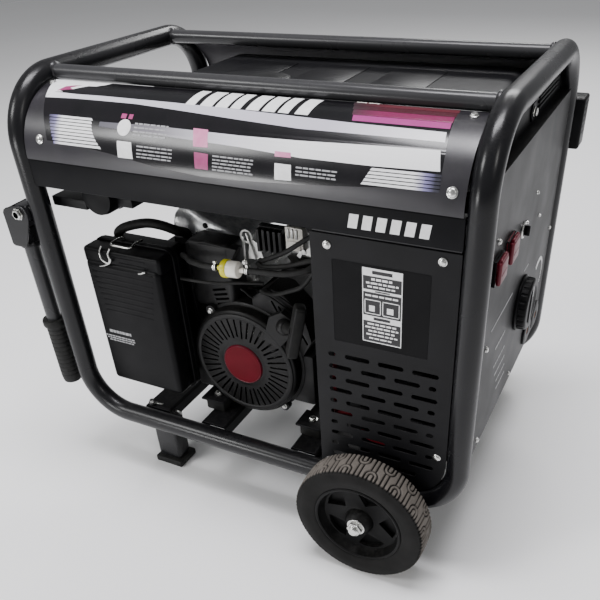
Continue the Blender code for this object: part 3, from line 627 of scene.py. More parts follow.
def foot_members():
    """The members, the legs under the left one, and the bay's tray on the right one."""
    folded_member("left")
    for side in ("front", "rear"):
        piece(f"leg_{side}", box((100, 146), span(20, 52, side), (-104, 9.5), 5.0, 4), "tube")
        pad = box((96, 152), span(13, 59, side), (-116, -104.3), 2.5, 3)
        piece(f"foot_{side}", pad, "rubber", stands_for=f"foot_pad_{side}", bevel=0.6)
    folded_member("middle")
    across = (17, WIDTH - 17)
    folded_member("right", box((428, 600), across, (-6, -3)), box((597, 600), across, (-6, 12)))


# ---------- tank panel and its print

def on_panel(x, degrees, lift, side):
    """A point on the curved panel: degrees up from the beam, lift above its outer face."""
    t = radians(degrees)
    r = PANEL_R + lift
    return Vector((x, mirror_y(PANEL_CENTRE[0] - r * cos(t), side), PANEL_CENTRE[1] + r * sin(t)))


def tank_panel(side):
    """The quarter-round sheet between the beam and the top rail."""
    steps = 44
    outer, inner = ([on_panel(0, PANEL_ARC * i / steps, lift, side) for i in range(steps + 1)]
                    for lift in (0, -2))
    outline = [(p.y, p.z) for p in outer] + [(p.y, p.z) for p in reversed(inner)]
    piece(f"panel_{side}", prism(outline, "X", TUBE_R + 1, LENGTH - TUBE_R - 1), "lilac",
          stands_for=f"tank_panel_{side}", smooth=50)


def printed(name, outlines, mat, side, lift=0.25):
    """Flat outlines of (x, degrees) laid on the curved panel as one thin film."""
    bm = bmesh.new()
    for outline in outlines:
        bm.faces.new([bm.verts.new((x, t, 0)) for x, t in outline])
    for t in range(2, PANEL_ARC, 2):
        geom = bm.verts[:] + bm.edges[:] + bm.faces[:]
        bmesh.ops.bisect_plane(bm, geom=geom, plane_co=(0, t, 0), plane_no=(0, 1, 0))
    upper = {v: on_panel(v.co.x, v.co.y, lift, side) for v in bm.verts}
    made = bmesh.ops.extrude_face_region(bm, geom=bm.faces[:])
    for element in made["geom"]:
        if isinstance(element, bmesh.types.BMVert):
            element.co = on_panel(element.co.x, element.co.y, -0.4, side)
    for v, co in upper.items():
        v.co = co
    return piece(name, bm, mat, smooth=60)


def fade_panel(side):
    """The decal: dark film, stripe blocks, and plain marks in place of its words, with a silver sweep and a
    band printed as painted highlights.
    """
    film = [(59, 19), (117, 17.4), (168, 14), (240, 8), (310, 5), (366, 6), (447, 9), (521, 13), (568, 16),
            (612, 17.8), (611, 30), (610, 44), (608, 57), (607, 64), (606, 74), (604, 91), (18, 91),
            (30, 75), (37, 60), (47, 42), (54, 30)]
    printed(f"decal_film_{side}", [film], "film", side, 0.15)
    white = (0.86, 0.86, 0.87)
    silver = (0.62, 0.61, 0.66)
    dim = (0.10, 0.10, 0.115)
    # Painted highlight: the silver sweep stands in for the overhead light reflected along the panel's curve.
    highlight_stroke = fade_ink(f"highlight_stroke_ink_{side}", [(0.0, white), (0.12, silver), (0.4, (0.55, 0.54, 0.60)),
                                           (0.75, (0.50, 0.48, 0.56)), (1.0, white)], (37, 610))
    low_edge = [(37, 59.2), (88, 60.5), (131, 60.6), (190, 60.5), (250, 58.2), (351, 54.0), (434, 51.2),
                (497, 51.5), (556, 51.6), (606, 51.5)]
    high_edge = [(604, 60), (560, 60.5), (500, 61), (430, 62.5), (345, 64.5), (240, 66), (131, 66.5),
                 (88, 66), (45, 66.8)]
    printed(f"decal_highlight_stroke_{side}", [low_edge + high_edge], highlight_stroke, side)
    swoosh = [(37, 60), (45, 66.8), (60, 68), (50, 70), (56, 75.5), (73, 72.5), (79, 75), (92, 80),
              (104, 80.5), (116, 85.4), (120, 91), (19, 91), (29, 75)]
    printed(f"decal_swoosh_{side}", [swoosh], "ink", side)
    flick = [(49, 68.6), (60, 70.5), (73, 72.2), (66, 74.6), (80, 80.5), (66, 78.5), (56, 76.2)]
    printed(f"decal_flick_{side}", [flick], "plum_ink", side, 0.4)
    # Painted highlight: this band, dim at the left and white at the right, stands in for a second reflection
    # of the overhead light.
    highlight_strip = fade_ink(f"highlight_strip_ink_{side}", [(0.0, dim), (0.2, (0.20, 0.19, 0.21)), (0.42, silver),
                                         (0.62, white), (1.0, white)], (145, 609))
    lower = [(146, 36), (200, 34.6), (260, 33.4), (362, 31.5), (444, 28.6), (530, 28.6), (609, 30)]
    upper = [(604, 45), (524, 43.6), (439, 41.5), (359, 40.6), (257, 41.2), (200, 40.8), (146, 40.0)]
    printed(f"decal_highlight_strip_{side}", [lower + upper], highlight_strip, side)
    left = fade_ink(f"left_stripe_ink_{side}", [(0.0, (0.03, 0.03, 0.05)), (0.14, (0.20, 0.18, 0.36)),
                                                (0.26, white), (1.0, white)], (58, 150))
    rows = []
    for i in range(9):
        top = 42.2 - i * 2.9
        bottom = top - 2.05
        tip = 131.5 + 0.004 * (42 - top) ** 2 * 9
        rows.append([(58 + i * 1.6, bottom), (tip + 2.4, bottom), (tip, top), (58 + i * 1.6, top)])
    printed(f"decal_stripes_left_{side}", rows, left, side)
    right = fade_ink(f"right_stripe_ink_{side}", [(0.0, white), (0.66, white), (0.80, (0.24, 0.22, 0.42)),
                                                  (0.92, (0.04, 0.04, 0.06)), (1.0, (0.015, 0.015, 0.02))],
                     (521, 613))
    rows = []
    for i in range(5):
        top = 27.4 - i * 2.6
        rows.append([(522 + (top - 15) * 0.85 - 2, top - 1.9), (612, top - 1.2), (612, top + 0.7),
                     (522 + (top - 15) * 0.85, top)])
    printed(f"decal_stripes_right_{side}", rows, right, side)
    shades = [("brown", (0.10, 0.015, 0.024), 91.0, 84.5), ("wine", (0.055, 0.005, 0.013), 84.2, 77.5),
              ("plum", (0.17, 0.006, 0.060), 77.2, 70.0), ("pink", (0.33, 0.030, 0.19), 69.7, 63.4)]
    for word, colour, top, bottom in shades:
        ink = fade_ink(f"{word}_ink_{side}", [(0.0, colour if word == "pink" else (0.03, 0.015, 0.02)),
                                              (0.30, colour), (1.0, colour)], (482, 612))
        start = 496 - (top - 60) * 0.55
        row = [(start + 2, bottom), (606, bottom), (605, top), (start, top)]
        printed(f"decal_{word}_{side}", [row], ink, side, 0.35)


def bars(x0, x1, tops, height, seed):
    """Rows of dashes on the curved panel, each an outline of (x, degrees)."""
    rng = np.random.default_rng(seed)
    return [[(x, top - height), (end, top - height), (end, top), (x, top)]
            for top in tops for x, end in dashes(rng, x0, x1, (4.5, 10.5), 1.4, 3)]


def panel_marks(side):
    """Generic marks on the panel and the beam in place of pictures and words."""
    turns = np.linspace(0, 2 * pi, 33)[:-1]
    disc = [(187 + 10.5 * cos(a), 37.3 + 7.2 * sin(a)) for a in turns]
    marks = [disc, [(181, 12), (205, 12), (202, 25.6), (179, 25.6)],
             [(413, 10.4), (435, 11), (433.5, 22.6), (412, 22.7)]]
    printed(f"mark_plates_{side}", marks, "ink", side, 0.35)
    small = bars(203, 255, (42.2, 38.8, 35.4, 32.6), 1.3, 3)
    small += bars(211, 266, (23.6, 20.6, 17.6, 15.0), 1.2, 4)
    small += bars(326, 383, (23.0, 20.2, 17.6, 14.9, 12.4), 1.2, 5)
    small += bars(440, 492, (22.0, 19.2, 16.6), 1.2, 6)
    printed(f"mark_lines_{side}", small, "grey_ink", side, 0.35)
    pink = [[(297, 28), (318, 28.4), (313.5, 42.6), (292, 42.8)],
            [(411, 27.6), (432, 27.8), (431, 31.6), (410, 31.6)]]
    printed(f"mark_pink_{side}", pink, "pink_ink", side, 0.4)
    plum = [[(301, 11), (320, 11), (319.5, 23.4), (299, 23.8)], bars(178, 206, (49.5,), 4.4, 7)[0],
            bars(190, 206, (49.5,), 4.4, 8)[0]]
    printed(f"mark_plum_{side}", plum, "plum_ink", side, 0.4)
    blocks = []
    for i in range(8):
        x = 266 + i * 22.0
        width = 17.5 if i % 3 else 14.0
        blocks.append([(x - 1.5, 65.0), (x + width - 1.5, 64.8), (x + width + 2.6, 89.5), (x + 2.6, 89.5)])
    printed(f"title_blocks_{side}", blocks, "ink", side, 0.4)
    ys = span(BEAM_FACE - 0.4, BEAM_FACE, side)
    slants = [prism([(x, 407), (x + 11.5, 407), (x + 14.5, 424), (x + 3, 424)], "Y", *ys)
              for x in (505 + i * 17.4 for i in range(6))]
    piece(f"beam_bars_{side}", slants, "ink")


def dome_bolt(name, at, axis, radius, mat="zinc", hexagon=False):
    """A washer under a flanged, domed head, or under a six-sided one."""
    washer = turned(at, axis, [(0, -0.5), (radius * 1.25, -0.5), (radius * 1.25, 1.0), (radius * 1.1, 1.4),
                               (0, 1.4)], 32)
    if hexagon:
        head = turned(at, axis, [(0, 1), (radius, 1), (radius, radius * 0.65),
                                 (radius * 0.85, radius * 0.8), (0, radius * 0.8)], 6)
    else:
        dome = [(0, 1), (radius, 1), (radius, 2.2)]
        dome += [(radius * cos(t), 2.2 + radius * 0.42 * sin(t))
                 for t in np.linspace(0.15, 1.45, 7)]
        head = turned(at, axis, dome + [(0, 2.2 + radius * 0.43)], 32)
    piece(name, [washer, head], mat)


def panel_bolts(side):
    """Two bolts on the panel and two where it meets the rail."""
    for kind, i, x, degrees, radius in (("panel", 0, 46, 19, 5.0), ("panel", 1, 626, 17, 5.0),
                                        ("rail", 0, 24, 82, 4.2), ("rail", 1, 624, 82, 4.2)):
        at = on_panel(x, degrees, 0.1, side)
        away = at - on_panel(x, 0, -PANEL_R, side)
        dome_bolt(f"{kind}_bolt_{side}_{i}", at, away, radius, hexagon=kind == "rail")


# ---------- bay covers

SLOT_ROWS = (((471, 481), (495, 530), (542, 577), (589, 624)),
             ((471, 504), (518, 553), (565, 600), (612, 622)))


def bay_cover(side):
    """Slotted sheet cover with a shallow rectangle pressed in for its label."""
    ys = span(-6, -4, side)
    face = mirror_y(-6, side)
    inward = -outward(side)
    corner = (LENGTH - BOTTOM_BEND, BOTTOM_BEND)
    reach = BOTTOM_BEND - TUBE_R - 1
    outline = [(452, 393), (452, 19)]
    for turn in range(-72, 1, 4):
        angle = radians(turn)
        outline.append((corner[0] + reach * cos(angle), corner[1] + reach * sin(angle)))
    outline += [(642, corner[1]), (642, 393)]
    cover = piece(f"cover_{side}", prism(outline, "Y", *ys), "sheet", stands_for=f"bay_cover_{side}",
                  bevel=0.35, segments=2)
    slots = []
    for row in range(10):
        z = 223 - row * 19.2
        for x0, x1 in SLOT_ROWS[row % 2]:
            if row == 9 and x0 > 600:
                continue
            slots.append(prism(rounded((x0, x1), (z - 3.4, z + 3.4), 3.3, 5), "Y", ys[0] - 3, ys[1] + 3))
    recess = prism(rounded((481, 608), (246, 362), 2.0), "Y", *layer(face, inward, -3, 0.6))
    cut(cover, gather(slots + [recess]))
    # Painted shade: a dark glossy strip behind the gap between the cover's top and the beam stands in for the
    # shade in that gap.
    piece(f"bay_gap_shade_{side}", box((455, 640), layer(face, inward, 2.4, 9), (381, 397.6)), "film")
    field = box((481.4, 607.6), layer(face, inward, 0.35, 0.8), (246.4, 361.6))
    piece(f"cover_field_{side}", field, "field")
    label(side, face + inward * 0.35, inward)
    out = (0, -inward, 0)
    for i, (x, z) in enumerate(((475, 379), (620, 381), (629, 93), (466, 33))):
        dome_bolt(f"cover_bolt_{side}_{i}", (x, face, z), out, 4.3)


def label(side, face, inward):
    """White-edged notice plate: bands, dashes and two blank pictures, with no words."""
    def slab(x0, x1, z0, z1, lift):
        return box((x0, x1), layer(face, inward, -lift, 0.3), (z0, z1))

    piece(f"label_base_{side}", slab(521, 573, 255, 358, 0.25), "ink")
    dark = [slab(522.2, 571.8, low, high, 0.42) for low, high in
            ((256.4, 285.6), (293.6, 326.0), (329.6, 347.6))]
    piece(f"label_fields_{side}", dark, "film")
    rng = np.random.default_rng(11)
    lines = []
    for z, x0, x1, height in ((342.4, 533, 561, 3.0), (337.4, 526, 568, 2.4), (332.6, 528, 566, 2.2),
                              (320.4, 525, 569, 2.4), (280.6, 528, 566, 2.4), (275.6, 525, 569, 2.4),
                              (270.6, 529, 565, 2.2), (265.4, 526, 568, 2.2), (260.2, 530, 560, 2.0)):
        lines += [slab(x, end, z, z + height, 0.55) for x, end in dashes(rng, x0, x1, (4, 9), 1.5, 2)]
    for x0, x1 in ((524, 545.6), (547.6, 570)):
        lines += [slab(x0, x1, 296, 297.1, 0.55), slab(x0, x1, 315, 316.1, 0.55),
                  slab(x0, x0 + 1.0, 296, 316, 0.55), slab(x1 - 1.0, x1, 296, 316, 0.55)]
        lines.append(slab(x0 + 6, x1 - 8, 300, 308, 0.55))
    piece(f"label_lines_{side}", lines, "ink")
    panes = [slab(534, 560, 350.6, 355.2, 0.4), slab(536, 558, 288.0, 291.8, 0.4),
             slab(538, 557, 327.0, 328.6, 0.4)]
    piece(f"label_panes_{side}", panes, "film")


def behind_slots():
    """Sleeved leads and a marked case just inside the front cover."""
    leads = [cord([(474, 5, 118), (475, 3, 150), (474, 3, 185), (477, 7, 216)], 3.4, 14),
             cord([(478, 4, 120), (492, 3, 122), (503, 6, 119)], 3.0, 14),
             cord([(512, 6, 92), (528, 3, 88), (552, 5, 84)], 4.6, 14)]
    piece("bay_red_leads", leads, "rose")
    marks = []
    rng = np.random.default_rng(5)
    for z, x0, x1 in ((125.0, 519, 552), (125.6, 565, 599), (107.0, 592, 622), (50, 520, 550)):
        marks += [box(xs, (8.4, 9.0), (z, z + 3.4)) for xs in dashes(rng, x0, x1, (3, 6), 1.6, 2)]
    piece("bay_case_marks", marks, "ink")
    piece("bay_case_front", box((508, 628), (9.0, 34), (40, 134), 2.0), "plastic")
    cans = [turned((590, 30, 200), FRONT, [(0, 0), (15, 0), (15, 18), (12, 20), (0, 20)], 32),
            turned((540, 34, 182), FRONT, [(0, 0), (12, 0), (12, 18), (10, 20), (0, 20)], 32)]
    piece("bay_capacitors", cans, "plastic")
    piece("bay_baffle", box((462, 520), (13, 15), (136, 236)), "plastic")


# ---------- wheels

def groove_depth(u, v, period):
    """How far inside a tread groove a point is: u runs round the wheel, v across the tread.

    Each repeat has two double-lined U shapes, one from each side of the tread.
    """
    half, width = 1.15, 43.0
    u = (u + period / 2) % period - period / 2
    far = np.minimum(np.abs(u - period / 2), np.abs(u + period / 2))
    lines = []
    for across, along in ((u, v), (far, width - v)):
        radial = np.hypot(across, np.maximum(along - 9.0, 0.0))
        for radius in (3.6, 9.0):
            lines.append(np.abs(radial - radius) - half)
        pair = np.maximum(np.abs(np.abs(across) - 3.4) - half, 17.6 - along)
        lines.append(np.maximum(pair, along - width))
    nearest = np.min(np.stack(lines), axis=0)
    return np.clip(0.6 - nearest, 0.0, 1.2) / 1.2


def tyre(side):
    """The tyre as one grid of points, its tread pressed in by groove_depth."""
    out = outward(side)
    hub = Vector((WHEEL.x, mirror_y(WHEEL.y, side), WHEEL.z))
    steps, across = 640, 44
    period = 2 * pi * WHEEL_R / 16
    profile = [(67.0, 4.5), (69.5, 2.6), (73, 2.4), (78, 0.9), (84, 0.4), (90, 1.0), (94.5, 2.2)]
    profile += [(94.5 + 4.0 * sin(t), 2.2 + 3.2 * (1 - cos(t))) for t in np.linspace(0.3, 1.3, 4)]
    low = len(profile)
    for i in range(across + 1):
        y = 4.9 + (WHEEL_WIDTH - 9.8) * i / across
        crown = 1.4 * ((y - WHEEL_WIDTH / 2) / (WHEEL_WIDTH / 2)) ** 2
        profile.append((WHEEL_R - 0.3 - crown, y))
    profile += [(r, WHEEL_WIDTH - y) for r, y in reversed(profile[:low])]
    turns = np.linspace(0, 2 * pi, steps, endpoint=False)
    radius, heights = (np.array(column)[:, None] + np.zeros(steps) for column in zip(*profile))
    grooves = groove_depth(turns[None, :] * WHEEL_R + 0 * radius, heights - 2.5, period)
    shoulder = np.clip((radius - 95.5) / 2.0, 0.0, 1.0)
    radius = radius - 2.6 * grooves * shoulder
    xs = hub.x + radius * np.cos(turns)
    zs = hub.z + radius * np.sin(turns)
    ys = hub.y + out * heights
    rows, count = radius.shape
    verts = np.stack([xs, ys, zs], axis=-1).reshape(-1, 3)
    mesh = bpy.data.meshes.new("tyre")
    here = np.arange(rows * count).reshape(rows, count)
    beside = np.roll(here, -1, axis=1)
    after, after_beside = np.roll(here, -1, axis=0), np.roll(beside, -1, axis=0)
    faces = np.stack([here, beside, after_beside, after], axis=-1).reshape(-1, 4)
    mesh.from_pydata(verts.tolist(), [], faces.tolist())
    bm = bmesh.new()
    bm.from_mesh(mesh)
    bpy.data.meshes.remove(mesh)
    return piece(f"tyre_tread_{side}", bm, tyre_material(side), f"wheel_{side}", f"tyre_{side}", smooth=50)


def tyre_material(side):
    """Dusty pale tops on the tread, dark rubber in its grooves and on the sidewall."""
    mat = finish(f"tyre_rubber_{side}", (0.0045, 0.0045, 0.004), (0.008, 0.0075, 0.007), 0.62, patch=16,
                 uneven=0.07, grain=0.35, grain_mm=0.9, specular=0.14)
    tree = mat.node_tree
    shader = tree.nodes["Principled BSDF"]
    dark = shader.inputs["Base Color"].links[0].from_socket
    coords = tree.nodes.new("ShaderNodeTexCoord").outputs["Object"]
    axle = ((WHEEL.x + BENCH.x) * MM, 0.0, (WHEEL.z + BENCH.z) * MM)
    from_axle = joined(tree, "ShaderNodeVectorMath", "SUBTRACT", coords, axle).outputs[0]
    flat = joined(tree, "ShaderNodeVectorMath", "MULTIPLY", from_axle, (1.0, 0.0, 1.0)).outputs[0]
    reach = joined(tree, "ShaderNodeVectorMath", "LENGTH", flat).outputs["Value"]
    top = spread(tree, reach, (WHEEL_R - 2.9) * MM, (WHEEL_R - 1.3) * MM)
    patchy = spread(tree, noise(tree, coords, 14.0, 5.0, 0.65), 0.3, 0.7, 0.72, 1.0)
    dusty = joined(tree, "ShaderNodeMath", "MULTIPLY", top, patchy).outputs[0]
    tree.links.new(blended(tree, dusty, dark, (0.135, 0.120, 0.105)), shader.inputs["Base Color"])
    return mat


def wheel_rim(side):
    """Five-pocket moulded wheel, its zinc nut and washer, and the ring that grips the tyre."""
    out = outward(side)
    y0 = mirror_y(WHEEL.y, side)
    hub, axle = (WHEEL.x, y0, WHEEL.z), (0, out, 0)
    w = WHEEL_WIDTH
    body = f"wheel_{side}"
    dish = [(8.4, 0), (18, 0), (18, w / 2 - 4), (58, w / 2 - 5), (60, 3), (66.8, 3), (66.8, w - 3.5),
            (64.8, w - 2.6), (62.6, w - 3.5), (61.4, w - 9), (57.5, w / 2 + 7), (50, w / 2 + 5.4),
            (26, w / 2 + 6), (21.5, w / 2 + 9), (19.5, w - 6), (16.5, w - 2.5), (14.8, w - 1), (8.4, w - 1)]
    rim = piece(f"rim_dish_{side}", ring(hub, axle, dish, 96), "rim", body, f"rim_{side}", bevel=0.6)
    pockets = []
    for degrees in (74, 2, -70, -142, 146):
        corners = []
        for r, a in ((28, 0), (53, 24), (55, 12), (55.5, 0), (55, -12), (53, -24)):
            turn = radians(degrees + a)
            corners.append((WHEEL.x + r * cos(turn), WHEEL.z + r * sin(turn)))
        pockets.append(prism(corners, "Y", *sorted((y0 + out * (w / 2 - 1.5), y0 + out * (w + 5)))))
    cut(rim, gather(pockets))
    washer = [(8.4, w - 0.8), (13.6, w - 0.8), (13.6, w + 0.6), (13.0, w + 1.2), (8.4, w + 1.2)]
    nut = [(8.4, w + 1.2), (11.6, w + 1.2), (11.6, w + 6.6), (10.2, w + 8.0), (8.4, w + 8.0)]
    piece(f"wheel_nut_bright_{side}", [ring(hub, axle, washer), ring(hub, axle, nut, 6)], "zinc", body,
          f"wheel_nut_{side}", bevel=0.25)


# ---------- folding handles

def handle(side):
    """The folding handle: forked lug, tube, collar and ribbed grip."""
    y = mirror_y(0, side)
    body = f"handle_{side}"
    cheek = [(-59, 302), (-59, 352), (-56, 357), (-50, 360.5), (-25.5, 366.5), (-18, 365.5), (-11.5, 361),
             (-8.5, 354), (-10, 344), (-16, 330), (-29, 302), (-34, 299), (-55, 299)]
    fork = piece(f"handle_tube_{side}", prism(cheek, "Y", y - 21, y + 21), "tube", body, f"handle_{side}",
                 bevel=0.9)
    px, pz = HANDLE_PIVOT
    cut(fork, box((-55.5, 10), (y - 18, y + 18), (325, 382)), box((-29, 10), (y - 18, y + 18), (280, 330)),
        rod((px, y - 30, pz), (px, y + 30, pz), 5.4, 24))
    bar = [rod((-44, y, 318), (-44, y, 48), 12, 40),
           ring((-44, y, 297), UP, [(11, -4), (15.2, -3), (15.6, 0), (14, 3), (11, 4)], 40)]
    piece(f"handle_bar_{side}", bar, "tube", body)
    grip = [(0, 38), (12, 38), (14.6, 39.5), (15.6, 43), (16.2, 48)]
    for i in range(12):
        z = 51 + i * 8.2
        grip += [(16.5, z), (16.6, z + 3.5), (15.9, z + 4.4), (15.9, z + 6.2), (16.5, z + 7.2)]
    grip += [(16.6, 150), (19.2, 151.5), (20, 154), (20, 160.5), (19, 163), (12.4, 163), (12.4, 47.6),
             (0, 47.6)]
    piece(f"grip_rubber_{side}", turned((-44, y, 0), UP, grip), "rubber", body, f"handle_grip_{side}")


# ---------- engine

def crank(y):
    """A point on the crankshaft's axis."""
    return Vector((CRANK_X, y, CRANK_Z))


def recoil_starter():
    """Domed starter cover with a ring of radial slots round its flat centre disc."""
    front = STARTER_FACE
    rings = [(35.3, 0.0), (38.5, 0.0), (40, 0.6), (43, 0.8), (84, 0.8), (87, 1.4), (89, 2.8), (91.5, 3.6),
             (93.2, 5.4), (94, 8), (94, 21), (91, 21), (91, 9), (86, 4.4), (35.3, 4.4)]
    shell = piece("starter_cover", ring(crank(front), REAR, rings, 144), "engine",
                  stands_for="recoil_cover", bevel=0.4, segments=2)
    slots = []
    for i in range(40):
        outline = rounded((49, 80) if i % 2 else (46.5, 82), (-1.55, 1.55), 1.5, 4)
        slot = prism([(CRANK_X + x, CRANK_Z + z) for x, z in outline], "Y", front - 4, front + 9)
        slots.append(moved(slot, turn_about(crank(0), i * 9 + 3, "Y")))
    cut(shell, gather(slots))
    rim = [(80.5, 0.9), (82.5, -0.3), (86.0, -0.6), (88.4, 0.5), (89.4, 2.6), (86, 2.8), (81, 1.4)]
    piece("starter_rim", ring(crank(front), REAR, rim, 144), "engine")
    disc = [(0, -3), (30.5, -3), (32.8, -2.4), (34.2, -1.0), (34.8, 0.8), (34.8, 3), (0, 3)]
    piece("centre_disc", turned(crank(front), REAR, disc, 96), "rose", stands_for="recoil_disc", smooth=60)
    edge = [(32.6, -2.5), (33.4, -2.9), (34.9, -1.4), (35.25, 0.9), (35.25, 3), (34.2, 3), (34.2, -1.0)]
    piece("disc_edge", ring(crank(front), REAR, edge, 96), "red")
    spring = [(0, 5.2), (44, 5.2), (44, 16.6), (12, 16.6), (12, 17), (0, 17)]
    piece("starter_pulley", turned(crank(front), REAR, spring, 64), "plastic", "recoil_pulley",
          "recoil_pulley")
    for i, degrees in enumerate((38, 128, 218, 308)):
        turn = radians(degrees)
        at = crank(73) + Vector((cos(turn), 0, sin(turn))) * 97.5
        piece(f"starter_lug_{i}", rod(at + Vector((0, 2, 0)), at + Vector((0, 12, 0)), 8.5), "engine")
        dome_bolt(f"starter_bolt_{i}", at + Vector((0, 1.6, 0)), FRONT, 4.0, hexagon=True)


def fan_cowl():
    """Cowl round the flywheel, its duct to the cylinder, and the glossy beads along its shoulder."""
    rings = [(80, 81.3), (96, 81.3), (99, 82.4), (100, 85), (100, 126), (96, 126), (96, 85.3), (80, 85.3)]
    piece("cowl", ring(crank(0), REAR, rings, 128), "engine", stands_for="fan_housing", bevel=0.6)
    shoulder = piece("cowl_duct", box((192, 268), (81.5, 126), (196, 306), 7.0, 3), "engine")
    slots = [moved(box((232, 258), (76, 92), (204.5 + i * 8, 208.5 + i * 8), 1.5),
                   turn_about((245, 84, 216), -14, "Y")) for i in range(4)]
    cut(shoulder, box((196, 264), (86, 134), (150, 302)), rod(crank(70), crank(140), 96.5, 96), *slots)
    flank = prism([(300, 228), (330, 250), (352, 246), (386, 214), (398, 170), (381, 140), (374, 160),
                   (362, 190), (330, 205), (300, 214)], "Y", 82, 126)
    side_plate = piece("cowl_flank", flank, "engine", bevel=2.0)
    holes = []
    for i in range(6):
        turn = radians(62 - i * 6.5)
        at = crank(0) + Vector((cos(turn), 0, sin(turn))) * 117
        holes.append(moved(box((at.x - 11, at.x + 11), (78, 95), (at.z - 1.7, at.z + 1.7), 1.2),
                           turn_about((at.x, 84, at.z), 62, "Y")))
    cut(side_plate, *holes)
    routes = [[(318, 79, 245), (330, 78.5, 248), (345, 78.5, 243), (361, 79, 235), (380, 80, 222)],
              [(318, 78.5, 240), (326, 78, 240), (344, 78, 233), (360, 78.5, 223), (377, 79.5, 210)],
              [(284, 78, 241), (292, 77.5, 238), (298, 77.5, 233), (305, 78.5, 229)]]
    piece("cowl_beads", [cord(route, 1.5) for route in routes], "rim")
    piece("cowl_low_flank", box((330, 398), (83, 126), (48, 142), 6.0), "engine")
    piece("cowl_left_flank", box((168, 206), (84, 126), (30, 132), 6.0), "engine")
    shroud = [(172, 190), (172, 256), (192, 256), (192, 196), (204, 172), (196, 140), (176, 160)]
    piece("cowl_left_shroud", prism(shroud, "Y", 104, 107), "engine", bevel=0.6)
    plates = [box(xs, (108, 111), (116, top), 0.5) for xs, top in
              (((150, 176), 292), ((175, 188), 256), ((187, 232), 292))]
    piece("cowl_back_plate", plates, "engine")
    hood = [(188, 268), (190, 300), (226, 306), (282, 302), (276, 292), (268, 276), (268, 268)]
    piece("cowl_hood", prism(hood, "Y", 82.2, 100), "engine", bevel=1.5)


def recoil_handle():
    """T-shaped pull grip on its ferrule, and the rope from the starter."""
    lean = Matrix.Rotation(radians(GRIP_LEAN), 4, PULL)
    turn = Matrix.Rotation(atan2(PULL.y, PULL.x), 4, "Z")
    at = Matrix.Translation(GRIP) @ lean @ turn
    grip = [box((-9.8, 9.8), (-7.8, 7.8), (-41, 41), 3.2, 4),
            box((-10.6, 10.6), (-8.4, 8.4), (-38, 38), 3.0, 3), box((-10, -9), (-4, 4), (-33, 33), 0.4)]
    piece("pull_grip", moved(gather(grip), at), "rubber", "recoil_grip", "recoil_grip")
    reach = GRIP - EYELET
    length = reach.length
    stem = turned(EYELET, reach, [(0, 4), (8.6, 4), (8.8, 8), (7.6, 11), (7.6, length - 8),
                                  (9.5, length - 3), (0, length - 2)], 32)
    piece("grip_stem", stem, "rubber", "recoil_grip")
    guide = ring(EYELET, reach, [(2.6, -12), (12.5, -12), (12.5, -4), (10.6, 0.6), (7.2, 2.8), (2.6, 2.8)],
                 40)
    arm = prism([(326, 172), (340, 214), (362, 226), (384, 214), (382, 196), (352, 160)], "Y", 60, 72)
    piece("rope_guide", [guide, arm], "engine", bevel=0.8)
    path = [EYELET + reach * t for t in np.linspace(-0.25, 0.85, 70)]
    rope = piece("starter_rope", swept(path, 1.9, 12), "pale_rope", None, smooth=60)
    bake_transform(rope)


def air_cleaner():
    """The air cleaner case, its lid with ribs and dashes, and its wires."""
    case = [box((46, 172), (63, 104), (58, 290), 8.0, 4),
            prism(rounded((40, 189), (50, 298), 12, 8), "Y", 60.3, 65)]
    piece("cleaner_case", case, "plastic", stands_for="air_cleaner_case", bevel=0.5)
    rim = prism(rounded((38, 189), (48, 300), 16, 10), "Y", 50, 60)
    piece("cleaner_rim", rim, "plastic", stands_for="air_cleaner_lid", bevel=1.6)
    lid = box((43, 185), (15, 52), (54, 278), 9.0, 5)
    ribs = [box((54 + i * 1.5, 174 - i * 2.0), (14.6, 16), (268 - i * 9.5, 268 - i * 9.5 + 3.2), 0.35)
            for i in range(9)]
    piece("cleaner_lid", [lid] + ribs, "plastic")
    piece("cleaner_brow", box((41, 187), (19, 52), (270, 297), 6.0, 4), "plastic")
    ridge = [box((92, 160), (18.2, 19.6), (287, 289), 0.5), box((110, 160), (18.2, 19.6), (279, 281), 0.5)]
    piece("cleaner_ridges", ridge, "plastic")
    rng = np.random.default_rng(21)
    lines = []
    for x0, x1, z, height in ((60, 104, 151, 5), (50, 108, 143, 2.2), (52, 110, 139, 2.2),
                              (56, 108, 135, 2.0)):
        lines += [box(xs, (14.75, 15.4), (z, z + height)) for xs in dashes(rng, x0, x1, (3, 7), 1.2, 2)]
    piece("cleaner_label", lines, "grey_ink")
    wire = [(92, 60, 303), (92, 44, 305), (92, 30, 303), (110, 28, 303), (128, 30, 303), (128, 44, 305),
            (128, 60, 303)]
    piece("bail_wire", cord(wire, 1.6, 14), "zinc", "air_cleaner_bail", "air_cleaner_bail")
    clips = [cord([(80, 21, 302), (78, 17, 294), (81, 14.5, 284), (92, 14.2, 279), (97, 14.5, 285),
                   (94, 16.5, 293), (97, 20, 301)], 1.3),
             cord([(74, 15.2, 271), (84, 14, 274), (96, 14, 280), (100, 14.4, 287)], 1.2),
             cord([(148, 15.4, 271), (154, 14.2, 273), (162, 14.6, 276)], 1.6)]
    piece("lid_clips", clips, "zinc")


